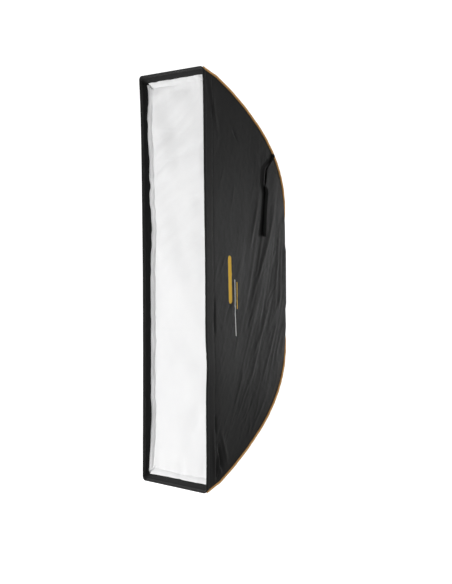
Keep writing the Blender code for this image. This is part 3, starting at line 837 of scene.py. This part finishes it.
def side_panel(side):
    """The right side panel, or the left one, as its mirror image with its own creases."""
    ideal = side_grid()
    depth, z = ideal[..., 1] - FRONT_Y, ideal[..., 2].copy()
    steps = np.linalg.norm(np.diff(ideal, axis=1), axis=2)
    run = np.concatenate([np.zeros((len(ideal), 1)), np.cumsum(steps, axis=1)], axis=1)
    uv = np.stack([run, z], axis=2)
    outward = np.array([1.0, 0.25, 0.0])
    out = normals_of(ideal, outward)
    to_seam = height_at(ideal[..., 1]) - np.abs(z)
    lift = side_lift(side, run, depth, z, to_seam)
    points = round_corner(ideal + out * lift[..., None], True)
    mirror = np.array([side, 1.0, 1.0])
    points *= mirror
    normal = normals_of(points, outward * mirror)
    hand = "right" if side > 0 else "left"
    look = PRINTED_NYLON if side > 0 else NYLON
    for half, up, rows in half_rows(points):
        name = f"side_panel_{half}_{hand}"
        skin = (points[rows], normal[rows], uv[rows])
        obj = closed_sheet(name, *skin, SHELL_CLOTH, [look, LINING], (out * mirror)[rows])
        area = grid_area(ideal[rows])
        nodes = [f"side_panel_{hand}"] if up > 0 else []
        declare(obj, float(run.max()), HALF_HEIGHT, area, "stretched", "black_fabric", *nodes)
        with_rods(obj)
        name = f"seam_stitches_{half}_{hand}"
        seam_stitches(name, points[rows], normal[rows], run[rows], to_seam[rows])


def seam_stitches(name, points, normal, run, to_seam):
    """The row of stitches behind the lip, which stops just short of the corner seams."""
    wanted = np.full(len(points), SEAM_DEPTH)
    clear = np.array([np.interp(SEAM_DEPTH, run[i], to_seam[i]) for i in range(len(points))])
    keep = clear > 0.004
    line = along_row(points, run, wanted)[keep]
    out = along_row(normal, run, wanted)[keep]
    obj = stitches(name, line, out, 0.0048, 0.0034)
    return with_rods(obj)


def end_panel(up):
    """The top or the bottom panel, from the rear opening over the curve to the front edge."""
    z = np.linspace(OPENING_HALF_Z + 0.0005, HALF_HEIGHT - 0.0002, END_ROWS)
    run = np.concatenate([[0.0], np.cumsum(np.hypot(np.diff(z), np.diff(seam_y(z))))])
    t = np.linspace(-1.0, 1.0, END_COLUMNS)
    ideal = np.zeros((END_ROWS, END_COLUMNS, 3))
    ideal[..., 0] = seam_x(z)[:, None] * t
    ideal[..., 1] = seam_y(z)[:, None]
    ideal[..., 2] = z[:, None]
    uv = np.stack([ideal[..., 0], np.broadcast_to(run[:, None], (END_ROWS, END_COLUMNS))], axis=2)
    outward = np.array([0.0, 0.7, 0.7])
    out = normals_of(ideal, outward)
    x = ideal[..., 0]
    along = uv[..., 1]
    seed = 83 if up > 0 else 131
    edge = seam_x(z)[:, None] - np.abs(x)
    behind = run[-1] - along
    free = 0.2 * smoothstep(behind, 0.006, 0.030) + 0.8 * smoothstep(behind, 0.045, 0.110)
    free = free * smoothstep(edge, 0.0, 0.035) * smoothstep(along, 0.0, 0.03)
    lift = 0.0022 * noise(x / 0.05, along / 0.16, seed)
    lift += 0.0016 * (1 - 2 * np.abs(noise(x / 0.022 + along * 3, along / 0.2, seed + 1)))
    lift += 0.0006 * noise(x / 0.012, along / 0.05, seed + 2) - 0.004 * (1 - t[None, :] ** 2)
    lift = lift * free - SEAM_DIP * bell(behind, SEAM_DEPTH * 1.1, SEAM_DIP_WIDTH)
    lift += GATHER * noise(x / GATHER_PITCH, along * 0, seed + 3) * bell(along, 0.0, GATHER_RUN)
    points = round_corner(ideal + out * lift[..., None], False)
    mirror = np.array([1.0, 1.0, up])
    points *= mirror
    normal = normals_of(points, outward * mirror)
    name = "top_panel" if up > 0 else "bottom_panel"
    looks = [NYLON, LINING]
    obj = closed_sheet(f"{name}_cloth", points, normal, uv, SHELL_CLOTH, looks, out * mirror)
    area = grid_area(ideal)
    declare(obj, 2 * HALF_WIDTH, float(run[-1]), area, "stretched", "black_fabric", name)
    return with_rods(obj)


def seam_line(side, up, lift, sideways):
    """Points along a seam, moved out of the box by lift and outwards across it by sideways, and the
    unit vector out of the box at each."""
    z = np.linspace(OPENING_HALF_Z + 0.004, HALF_HEIGHT - 0.002, SEAM_COUNT)
    step = 0.001
    slope = (seam_y(z + step) - seam_y(z - step)) / (2 * step)
    length = np.hypot(1.0, slope)
    out_y, out_z = 1 / length, -slope / length
    y = seam_y(z)
    drop = mouth_corner(y) * (1 - math.cos(math.pi / 4))
    x = side * (seam_x(z) - drop + sideways)
    points = np.stack([x, y + out_y * lift, up * (z - drop + out_z * lift)], axis=1)
    out = np.stack([side * 0.35 * np.ones(SEAM_COUNT), out_y, up * out_z], axis=1)
    return points, unit(out)


def tube_piece(name, line, radius, material, sides):
    """A closed round tube along line, as a mesh."""
    tangent = unit(np.gradient(line, axis=0))
    across = unit(np.cross(tangent, np.array([0.31, 0.22, 0.93])))
    other = np.cross(tangent, across)
    angle = np.linspace(0, 2 * math.pi, sides, endpoint=False)
    ring = np.cos(angle)[None, :, None] * across[:, None, :]
    ring = ring + np.sin(angle)[None, :, None] * other[:, None, :]
    points = line[:, None, :] + ring * radius
    uv = np.stack(np.broadcast_arrays(angle[None, :] * radius, run_along(line)[:, None]), axis=2)
    obj = grid_piece(name, points, uv, material, wrap=True)
    with changed(obj) as mesh:
        fill_ends(mesh, sides + 1)
    return obj


def piping(key, side, up):
    """The orange cord in a seam, slightly uneven along its length."""
    line, out = seam_line(side, up, lift=0.0031, sideways=0.0014)
    run = np.linspace(0, 1, len(line))
    line = line + out * (0.0006 * noise(run * 60, run * 0, 5 if side > 0 else 6))[:, None]
    obj = tube_piece(f"piping_{key}", line, PIPING_RADIUS, CORD, PIPING_SIDES)
    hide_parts(f"seam_piping_{key}")
    return with_rods(obj)


# The mouth


def half_loop(y, inset, up, ends=1.0):
    """Points round the upper or lower half of the mouth, from the middle of the right side over the
    end to the middle of the left side. ends multiplies inset along that end."""
    side_count, corner_count, end_count = 90, 9, 44
    top = float(height_at(y)) - inset * ends
    radius = max(float(mouth_corner(y)) - inset * 0.4, 0.0004)
    z = np.linspace(0.0, top - radius, side_count)
    right = np.stack([wall_x(y, z) - inset, z], axis=1)
    wide = float(wall_x(y, top)) - inset
    right[:, 0] += (wide - right[-1, 0]) * (z / max(top, 1e-9)) ** 8
    angle = np.linspace(0, math.pi / 2, corner_count + 2)[1:-1]
    corner = [wide - radius + radius * np.cos(angle), top - radius + radius * np.sin(angle)]
    right = np.concatenate([right, np.stack(corner, axis=1)])
    x = np.linspace(wide - radius, -(wide - radius), end_count)
    over = np.stack([x, np.full(end_count, top)], axis=1)
    line = np.concatenate([right, over, right[::-1] * np.array([-1.0, 1.0])])
    return np.stack([line[:, 0], np.full(len(line), y), up * line[:, 1]], axis=1)


def mouth_band(name, half, up, profile, thickness, material, ripple, towards, ends=1.0):
    """A thin band round half of the mouth, with its width and length. profile is its outer face, as
    (distance behind the front edge, inset from the box's surface); ripple(run) moves its last line
    back and forth; towards(points) is on the side of the band that its outer face is on."""
    points = np.stack([half_loop(FRONT_Y + back, inset, up, ends) for back, inset in profile], axis=1)
    run = run_along(half_loop(FRONT_Y + 0.01, 0.0, up))
    across = [0.0]
    for (back, inset), (next_back, next_inset) in zip(profile, profile[1:]):
        across.append(across[-1] + math.hypot(next_back - back, next_inset - inset))
    uv = np.stack(np.broadcast_arrays(run[:, None], np.array(across)[None, :]), axis=2)
    share = np.linspace(0, 1, len(profile))[None, :] ** 1.5
    points[:, :, 1] += ripple(run)[:, None] * share
    normal = normals_of(points, towards(points))
    obj = closed_sheet(f"{name}_{half}", points, normal, uv, thickness, [material])
    return obj, across[-1], float(run[-1])


def away_from_edge(points):
    """Out of the folded edge of the binding, whose middle line lies just behind the front."""
    middle = points[:, [0, -1]].mean(axis=1, keepdims=True)
    return points - middle


def inwards(points):
    """Towards the line through the middle of the mouth."""
    return -points * np.array([1.0, 0.0, 1.0])


def binding(half, up):
    """The ribbon folded over the front edge and sewn through."""
    reach, proud, inner = 0.0125, BINDING_PROUD, 0.0038
    profile = [(reach, -proud), (0.010, -proud), (0.0075, -proud - 0.0003), (0.005, -proud - 0.0004)]
    profile += [(0.0025, -proud - 0.0002), (0.0003, -proud * 0.8), (-0.0012, -proud * 0.1)]
    profile += [(-0.0020, 0.0011), (-0.0016, 0.0026), (-0.0002, 0.0036), (0.0025, inner + 0.0002)]
    profile += [(0.006, inner + 0.0003), (0.010, inner), (0.0132, inner)]

    def ripple(run):
        return 0.0006 * noise(run / 0.03, run * 0, 9 + up)

    obj, width, length = mouth_band(
        "front_binding", half, up, profile, BINDING_TAPE, TAPE, ripple, away_from_edge
    )
    nodes = ["front_hem"] if up > 0 else []
    declare(obj, width, length, width * length, "folded", "black_tape", *nodes)
    return with_rods(obj)


def lip_tape(half, up):
    """The black inner face of the mouth: loop tape that the diffuser is pressed onto."""
    profile = [(0.0085, 0.0034), (0.012, 0.0044), (0.018, 0.0062), (0.024, 0.0074)]
    profile += [(0.030, 0.0076), (0.036, 0.0074), (0.043, 0.0060)]

    def ripple(run):
        broad, fine = noise(run / 0.040, run * 0, 3 + up), noise(run / 0.013, run * 0, 5 + up)
        return 0.0016 * broad + 0.0008 * fine

    obj, width, length = mouth_band(
        "lip_tape", half, up, profile, LOOP_TAPE, PILE, ripple, inwards, END_LIP
    )
    nodes = ["lip_loop_tape", "diffuser_border"] if up > 0 else []
    declare(obj, width, length, width * length, "stretched", "black_tape", *nodes)
    return with_rods(obj)


def stitches(name, line, out, pitch, length):
    """A row of black stitches laid along line, as one mesh. out is the way out of the cloth."""
    # Along one stitch: share of its length, lift in thread radii, size. Its ends go into the cloth.
    shape = ((0.0, -0.4, 0.7), (0.25, 0.6, 1.0), (0.75, 0.6, 1.0), (1.0, -0.4, 0.7))
    run = run_along(line)
    mesh = bmesh.new()

    def at(place, values):
        return np.array([np.interp(place, run, values[:, k]) for k in range(3)])

    for start in np.arange(pitch, run[-1] - pitch, pitch):
        a, b = at(start, line), at(start + length, line)
        normal = at(start + length / 2, out)
        side = unit(np.cross(normal, unit(b - a)))
        rings = []
        for share, lift, size in shape:
            centre = a + (b - a) * share + normal * lift * THREAD_RADIUS
            corners = []
            for k in range(4):
                angle = math.pi / 4 + k * math.pi / 2
                way = side * math.cos(angle) + normal * math.sin(angle)
                corners.append(mesh.verts.new(centre + way * THREAD_RADIUS * size))
            rings.append(corners)
        for near, far in zip(rings, rings[1:]):
            for k in range(4):
                mesh.faces.new((near[k], near[(k + 1) % 4], far[(k + 1) % 4], far[k]))
        mesh.faces.new(rings[0][::-1])
        mesh.faces.new(rings[-1])
    bmesh.ops.recalc_face_normals(mesh, faces=mesh.faces)
    data = bpy.data.meshes.new(name)
    mesh.to_mesh(data)
    mesh.free()
    data.shade_smooth()
    data.materials.append(BLACK_THREAD)
    return in_scene(name, data)


def binding_stitches(half, up):
    """The row of stitches along the outer face of the binding, near its edge."""
    y = FRONT_Y + 0.0098
    points = half_loop(y, -BINDING_PROUD, up)
    out = unit(half_loop(y, -BINDING_PROUD - 0.0100, up) - points)
    obj = stitches(f"binding_stitches_{half}", points, out, 0.0050, 0.0036)
    return with_rods(obj)


# Front diffuser and inner baffle


def white_halves(name, points, node):
    """The upper and the lower half of a white sheet, both in place of that CAD node."""
    normal = normals_of(points, np.array([0.0, -1.0, 0.0]))
    uv = points[..., [0, 2]]
    area = grid_area(points * np.array([1.0, 0.0, 1.0]))
    for half, up, rows in half_rows(points):
        part = points[rows]
        obj = closed_sheet(f"{name}_{half}", part, normal[rows], uv[rows], WHITE_CLOTH, [WHITE])
        width, length = 2 * float(np.abs(part[..., 0]).max()), float(np.ptp(part[..., 2]))
        nodes = [node] if up > 0 else []
        declare(obj, width, length, area / 2, "stretched", "white_fabric", *nodes)
        with_rods(obj)


def rolled(share):
    """From 0 to 1 as share does, flat at first and steep at the end, as a rolled hem is."""
    return np.minimum(share, 1.0) ** 1.8


def diffuser_grid():
    """The diffuser's points, closer together towards its edge: x, z, and how far in from the side
    and from the end each one is."""
    y = FRONT_Y + RECESS
    top = float(height_at(y)) - LIP_INSET * END_LIP
    corner = 0.004
    v = both_ways(1 - (1 - np.linspace(0.0, 1.0, DIFFUSER_ROWS)) ** 1.3)
    u = both_ways(1 - (1 - np.linspace(0.0, 1.0, DIFFUSER_COLUMNS)) ** 1.4)
    z = top * v[:, None] * np.ones(len(u))[None, :]
    wide = wall_x(np.full(len(v), y), top * v) - LIP_INSET
    over = np.clip(np.abs(z[:, 0]) - (top - corner), 0.0, None)
    wide = wide - (corner - np.sqrt(np.maximum(corner**2 - over**2, 0.0)))
    x = wide[:, None] * u[None, :]
    return x, z, wide[:, None] - np.abs(x), top - np.abs(z)


def hem(x, z, edge_x, edge_z):
    """How far forward the diffuser's hem stands: an uneven rise from the sheet to the edge, less the
    groove of its seam and of the mitres in its corners."""
    hand, end = np.sign(x), np.sign(z)
    wobble = 0.005 * noise(z / 0.075, hand * 3.3, 21) + 0.003 * noise(z / 0.028, hand * 5.1, 22)
    hem_x = 0.0150 + 0.7 * wobble + 0.003 * smoothstep(z, -0.2, 0.4)
    hem_z = 0.019 + 0.003 * noise(x / 0.06, end * 4.2, 23)
    upper = smoothstep(z, -0.2, 0.3)
    uneven = 1 + (0.12 + 0.30 * upper) * noise(z / 0.032, hand * 2.7, 24)
    side_rise, end_rise = uneven * (1 - rolled(edge_x / hem_x)), 1 - rolled(edge_z / hem_z)
    rise = TRAY * (np.maximum(side_rise, end_rise) - 1)

    # Beside the left edge and at both ends the sheet is pulled forward or back in places.
    far = smoothstep(-x, 0.06, 0.168)
    rise += far * (0.0055 * bell(z, 0.55, 0.085) - 0.0055 * bell(z, 0.16, 0.08) - 0.0020)
    rise += far * (0.0085 * smoothstep(-z, 0.60, 0.735) - 0.0040 * bell(z, -0.52, 0.05))
    near_top = smoothstep(z, 0.60, 0.75)
    rise += 0.0050 * noise(x / 0.030, 7.7, 41) * near_top * smoothstep(x, -0.15, -0.10)
    rise += 0.0030 * noise(x / 0.030, 9.2, 42) * smoothstep(-z, 0.60, 0.75)

    groove = 0.0026 * bell(edge_x, hem_x, 0.0028) * smoothstep(edge_z, 0.010, 0.03)
    groove += 0.0016 * bell(edge_z, hem_z, 0.0030) * smoothstep(edge_x, 0.010, 0.03)
    mitre = np.abs(edge_x - edge_z) / 1.4
    groove += 0.0090 * bell(mitre, 0.0, 0.0026) * (1 - smoothstep(edge_x, 0.018, 0.032))
    return rise - groove


def slack(x, z):
    """The diffuser's soft waves, some of which climb to the right, and its faint level creases."""
    soft = 0.0065 * noise((x + 0.4 * z) / 0.12 + 0.3, (z - 0.4 * x) / 0.17 + 0.6, 31)
    soft += 0.0024 * noise((x - 0.7 * z) / 0.06 + 0.7, (z + 0.7 * x) / 0.10 + 0.2, 32)
    climbing = noise((z - 0.75 * x) / 0.060, (x + 0.75 * z) / 0.30 + 0.4, 36)
    climbing += 0.5 * noise((z - 0.55 * x) / 0.034, (x + 0.55 * z) / 0.16 + 0.1, 37)
    soft += 0.0075 * climbing * smoothstep(z, -0.2, 0.5)
    for k in range(12):
        place = -0.69 + 0.125 * k + 0.012 * math.sin(k * 2.3)
        line = z - place - 0.10 * math.sin(k * 1.7) * x
        soft += 0.0004 * bell(line, 0.0, 0.0050) * (0.6 + 0.4 * math.sin(k * 5.1))
    return soft


def diffuser():
    """The front diffuser: a hem band round the edge with mitred corners, then the sheet."""
    x, z, edge_x, edge_z = diffuser_grid()
    pucker = 0.0016 * noise(z / 0.018, np.sign(x), 34) * bell(edge_x, 0.0, 0.030)
    pucker += 0.0016 * noise(x / 0.020, np.sign(z), 35) * bell(edge_z, 0.0, 0.030)
    inner = smoothstep(edge_x, 0.0, 0.05) * smoothstep(edge_z, 0.0, 0.05)
    forward = hem(x, z, edge_x, edge_z) + slack(x, z) * inner
    forward = forward + pucker * smoothstep(np.minimum(edge_x, edge_z), 0.0, 0.008)
    points = np.stack([x, FRONT_Y + RECESS - forward, z], axis=2)
    white_halves("diffuser_sheet", points, "front_diffuser")


def baffle():
    """The inner baffle, which sags a little away from its edges."""
    top = float(height_at(BAFFLE_Y)) - BAFFLE_INSET
    v = both_ways(np.linspace(0.0, 1.0, BAFFLE_ROWS))
    u = np.linspace(-1.0, 1.0, BAFFLE_COLUMNS)
    z = top * v[:, None] * np.ones(BAFFLE_COLUMNS)[None, :]
    x = (wall_x(np.full(len(v), BAFFLE_Y), top * v) - BAFFLE_INSET)[:, None] * u[None, :]
    held = (1 - u[None, :] ** 4) * (1 - np.abs(v[:, None]) ** 6)
    sag = 0.004 * noise(x / 0.10, z / 0.14, 61) * held + 0.0015 * noise(x / 0.04, z / 0.05, 62) * held
    white_halves("baffle_sheet", np.stack([x, BAFFLE_Y + sag, z], axis=2), "inner_baffle")


def ribbon(name, centre, flat_way, deep_way, half_width, thickness, look):
    """A flat tape along centre, closed, with rounded edges, and its length. flat_way and deep_way are
    unit vectors across its width and through its thickness."""
    lines, across = [], []
    for k in range(RIBBON_SIDES):
        angle = 2 * math.pi * k / RIBBON_SIDES
        a, b = math.cos(angle), math.sin(angle)
        a, b = math.copysign(abs(a) ** 0.5, a), math.copysign(abs(b) ** 0.9, b)
        lines.append(centre + flat_way * (a * half_width)[:, None] + deep_way * b * thickness / 2)
        across.append(a * 0.011)
    run = run_along(centre)
    uv = np.stack(np.broadcast_arrays(np.array(across)[None, :], run[:, None]), axis=2)
    obj = grid_piece(name, np.stack(lines, axis=1), uv, look, wrap=True)
    with changed(obj) as mesh:
        fill_ends(mesh, RIBBON_SIDES + 1)
        for face in mesh.faces:
            if len(face.verts) > 4:
                face.smooth = False
                for edge in face.edges:
                    edge.smooth = False
    return obj, float(run[-1])


def baffle_tab(key, side, up):
    """An elastic tab from the edge of the inner baffle to the wall of the box."""
    t = np.linspace(0.0, 1.0, 14)
    arch = np.sin(t * math.pi)
    edge = wall_x(BAFFLE_Y, TAB_Z) - BAFFLE_INSET
    wall = wall_x(BAFFLE_Y, TAB_Z) - 0.0025
    x = side * (edge - TAB_OVERLAP + (wall - edge + TAB_OVERLAP) * t)
    y = BAFFLE_Y - 0.0013 + 0.0012 * arch
    centre = np.stack([x, y, np.full(len(t), up * TAB_Z)], axis=1)
    flat_way = np.broadcast_to([0.0, 0.0, 1.0], centre.shape)
    deep_way = np.broadcast_to([0.0, 1.0, 0.0], centre.shape)
    half = TAB_HALF_WIDTH * (1 - 0.12 * arch)
    obj, length = ribbon(f"baffle_elastic_{key}", centre, flat_way, deep_way, half, ELASTIC_TAPE, TAPE)
    width = 2 * TAB_HALF_WIDTH
    declare(obj, width, length, width * length, "stretched", "black_tape", f"baffle_tab_{key}")
    return with_rods(obj)


# Straps and hems


def tie_strap():
    """A webbing tape sewn over the upper seam, twisted edge-on, with a hook strip at its end."""
    s = np.linspace(0.0, 1.0, 110)
    z = np.interp(s, [0, 0.05, 0.40, 0.46, 1.0], [0.470, 0.452, 0.362, 0.345, 0.158])
    depth = np.interp(s, [0, 0.05, 0.20, 0.45, 0.50, 1.0], [0.4105, 0.400, 0.362, 0.358, 0.376, 0.362])
    soft = np.ones(7) / 7
    z[3:-3], depth[3:-3] = np.convolve(z, soft, "valid"), np.convolve(depth, soft, "valid")
    y = FRONT_Y + depth
    degrees = np.interp(s, [0, 0.06, 0.14, 0.39, 0.48, 1.0], [0.0, 10.0, 78.0, 80.0, 8.0, 4.0])
    twist = degrees * math.pi / 180
    widths = [0.0085, 0.0080, 0.0048, 0.0048, STRAP_WIDTH / 2, STRAP_WIDTH / 2]
    half = np.interp(s, [0, 0.05, 0.10, 0.45, 0.48, 1.0], widths)
    clear = 0.0042 + half * np.abs(np.sin(twist))
    centre = np.stack([wall_x(y, z) + clear, y, z], axis=1)
    tangent = unit(np.gradient(centre, axis=0))
    flat = unit(np.cross(tangent, np.array([0.97, 0.17, 0.0])))
    normal = np.cross(flat, tangent)
    wide = flat * np.cos(twist)[:, None] + normal * np.sin(twist)[:, None]
    deep = normal * np.cos(twist)[:, None] - flat * np.sin(twist)[:, None]
    obj, length = ribbon("tie_strap_tape", centre, wide, deep, half, STRAP_TAPE, HOOKS)
    mean_width = 0.0230
    declare(obj, STRAP_WIDTH, length, mean_width * length, "hung", "black_tape", "tie_strap")
    return with_rods(obj)


def opening_outline(outside):
    """The outline of the rear opening, that far outside its edge, as a closed line of (x, z)."""
    half_z, half_x, corner = OPENING_HALF_Z + outside, OPENING_HALF_X + outside, OPENING_CORNER
    quarter = [(half_x, z) for z in np.linspace(0, half_z - corner, 40)[:-1]]
    for k in range(13):
        angle = k / 12 * math.pi / 2
        x = half_x - corner + corner * math.cos(angle)
        quarter.append((x, half_z - corner + corner * math.sin(angle)))
    quarter += [(x, half_z) for x in np.linspace(half_x - corner, 0, 20)[1:]]
    quarter = np.array(quarter)
    upper = np.concatenate([quarter, quarter[::-1][1:] * [-1, 1]])
    whole = np.concatenate([upper, upper[::-1][1:-1] * [1, -1]])
    return np.concatenate([whole, whole[:1]])


def rear_elastic():
    """The gathered elastic round the rear opening."""
    outline = opening_outline(0.0010)
    run = run_along(outline)
    s = np.linspace(0, run[-1], ELASTIC_COUNT, endpoint=False)
    line = np.stack([np.interp(s, run, outline[:, k]) for k in (0, 1)], axis=1)
    ahead = unit(np.roll(line, -1, axis=0) - np.roll(line, 1, axis=0))
    out = np.stack([ahead[:, 1], -ahead[:, 0]], axis=1)
    gathers = round(run[-1] / 0.0062)
    phase = 2 * math.pi * gathers * s / run[-1] + 1.2 * np.sin(2 * math.pi * 9 * s / run[-1])
    radius = ELASTIC_RADIUS + 0.00045 * np.sin(phase) + 0.0002 * np.sin(phase * 2.7)
    angle = np.linspace(0, 2 * math.pi, ELASTIC_SIDES, endpoint=False)
    grid = np.zeros((ELASTIC_COUNT, ELASTIC_SIDES, 3))
    for k, a in enumerate(angle):
        grid[:, k, 0] = line[:, 0] + out[:, 0] * radius * math.cos(a)
        grid[:, k, 1] = BACK_Y + ELASTIC_RADIUS + radius * math.sin(a) * 0.9
        grid[:, k, 2] = line[:, 1] + out[:, 1] * radius * math.cos(a)

    # The first ring comes again at the end for the texture's sake, and is then joined to the first.
    grid = np.concatenate([grid, grid[:1]])
    s = np.concatenate([s, [run[-1]]])
    uv = np.stack(np.broadcast_arrays(angle[None, :] * ELASTIC_RADIUS, s[:, None]), axis=2)
    obj = grid_piece("rear_hem_elastic", grid, uv, NYLON, wrap=True)
    last = ELASTIC_COUNT * ELASTIC_SIDES
    with changed(obj) as mesh:
        both = [v for v in mesh.verts if v.index < ELASTIC_SIDES or v.index >= last]
        bmesh.ops.remove_doubles(mesh, verts=both, dist=TINY)
    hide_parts("rear_hem")
    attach(obj, "ring")


# CAD nodes that stay


def finish_nodes():
    """Materials and sharp edges for the metal and plastic solids, which aren't changed otherwise."""
    looks = {
        "bayonet_insert": ALUMINIUM,
        "ring_body": METAL,
        "retaining_ring": METAL,
        "swivel_knob": PLASTIC,
    }
    parts = {
        "rod_bracket": METAL,
        "bracket_screw": STEEL,
        "hinge_pin": STEEL,
        "lever_pin": STEEL,
        "lever_spring": STEEL,
        "rod_holder": PLASTIC,
        "lock_lever": PLASTIC,
        "spring_rod": STEEL,
        "rod_tip": RUBBER,
    }
    for key in KEYS:
        for part, look in parts.items():
            looks[f"{part}_{key}"] = look
    for name, look in looks.items():
        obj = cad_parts[name]
        obj.data.materials.clear()
        obj.data.materials.append(look)
        obj.data.shade_smooth()
        obj.data.set_sharp_from_angle(angle=math.radians(32))


# Stage


# Each light: where it is, what it points at, its size and its power in watts.
LIGHTS = {
    "front": ((-1.4, -3.4, -0.70), (0.0, FRONT_Y, -0.15), (1.6, 2.0), 95),
    "side": ((0.50, 1.25, -0.10), (0.11, -0.10, -0.05), (0.24, 1.0), 4.0),
    "fill": ((3.40, 0.60, 0.50), (0.12, -0.20, -0.10), (1.6, 2.2), 10),
    "far_side": ((-1.30, 2.30, 0.60), (-0.12, -0.20, 0.0), (0.8, 1.8), 12),
    "far_fill": ((-3.40, 0.40, 0.90), (-0.12, -0.20, 0.0), (1.6, 2.2), 14),
    "above": ((0.5, -0.5, 3.2), (0.0, -0.25, 0.3), (1.6, 1.6), 8),
}


def softlight(name, place, target, size, power):
    light = bpy.data.lights.new(name, "AREA")
    light.shape = "RECTANGLE"
    light.size, light.size_y = size
    light.energy = power
    obj = in_scene(name, light)
    obj.location = place
    obj.rotation_mode = "QUATERNION"
    obj.rotation_quaternion = (Vector(target) - Vector(place)).to_track_quat("-Z", "Y")


def white_surface(name, glow):
    n = Nodes(name)
    n.set(Roughness=0.95, Specular_IOR_Level=0.0, Emission_Strength=glow)
    n.shader.inputs["Base Color"].default_value = (0.90, 0.90, 0.90, 1.0)
    n.shader.inputs["Emission Color"].default_value = (1.0, 1.0, 1.0, 1.0)
    return n.material


def backdrop():
    """A pale floor that turns up into a wall far away, all round."""
    bend = np.linspace(0.15, math.pi / 2, 9)
    wall = [(6.0, FLOOR_Z), (9.0, FLOOR_Z)]
    wall += [(9 + 3 * math.sin(a), FLOOR_Z + 3 - 3 * math.cos(a)) for a in bend]
    wall += [(12.0, 12.0), (8.0, 16.0), (0.01, 17.0)]
    floor = [(radius, FLOOR_Z) for radius in (0.001, 1, 2, 3, 4.5, 6)]
    turns = np.linspace(0, 2 * math.pi, 72, endpoint=False)
    for name, profile, glow in (("backdrop", wall, 0.85), ("floor", floor, 0.80)):
        points = [[(r * math.cos(a), r * math.sin(a), z) for a in turns] for r, z in profile]
        points = np.array(points)
        uv = np.zeros((*points.shape[:2], 2))
        obj = grid_piece(name, points, uv, white_surface(f"pale_{name}", glow), wrap=True)
        obj.visible_diffuse = False
        obj.visible_glossy = False
        obj.visible_shadow = False


def stage():
    world = bpy.data.worlds.new("studio")
    world.use_nodes = True
    sky = world.node_tree.nodes["Background"].inputs
    sky["Color"].default_value = (1.0, 1.0, 1.0, 1.0)
    sky["Strength"].default_value = 0.36
    bpy.context.scene.world = world
    bpy.context.scene.view_settings.view_transform = "Standard"
    backdrop()
    for name, light in LIGHTS.items():
        softlight(name, *light)


def camera():
    """The photograph's camera, from a fit of the mouth's corners and the seams."""
    azimuth, elevation, roll = math.radians(46.5), math.radians(2.33), math.radians(0.47)
    shift_right, shift_down, distance = 0.198, 0.0455, 4.316
    level = math.cos(elevation)
    back = Vector((math.sin(azimuth) * level, -math.cos(azimuth) * level, math.sin(elevation)))
    right = Vector((math.cos(azimuth), math.sin(azimuth), 0.0))
    up = back.cross(right)
    place = Vector((0.0, FRONT_Y, 0.0)) + right * shift_right - up * shift_down + back * distance
    across = right * math.cos(roll) - up * math.sin(roll)
    upward = up * math.cos(roll) + right * math.sin(roll)
    turn = Matrix((across, upward, back)).transposed().to_4x4()
    cam = in_scene("camera", bpy.data.cameras.new("camera"))
    cam.data.lens = 72.4
    cam.data.sensor_width = 36.0
    cam.matrix_world = Matrix.Translation(place) @ turn
    bpy.context.scene.camera = cam


camera()
stage()
for hand in (1, -1):
    side_panel(hand)
diffuser()
baffle()
for half, up in HALVES.items():
    end_panel(up)
    binding(half, up)
    lip_tape(half, up)
    binding_stitches(half, up)
for key, (side, up) in KEYS.items():
    piping(key, side, up)
    baffle_tab(key, side, up)
tie_strap()
rear_elastic()
finish_nodes()
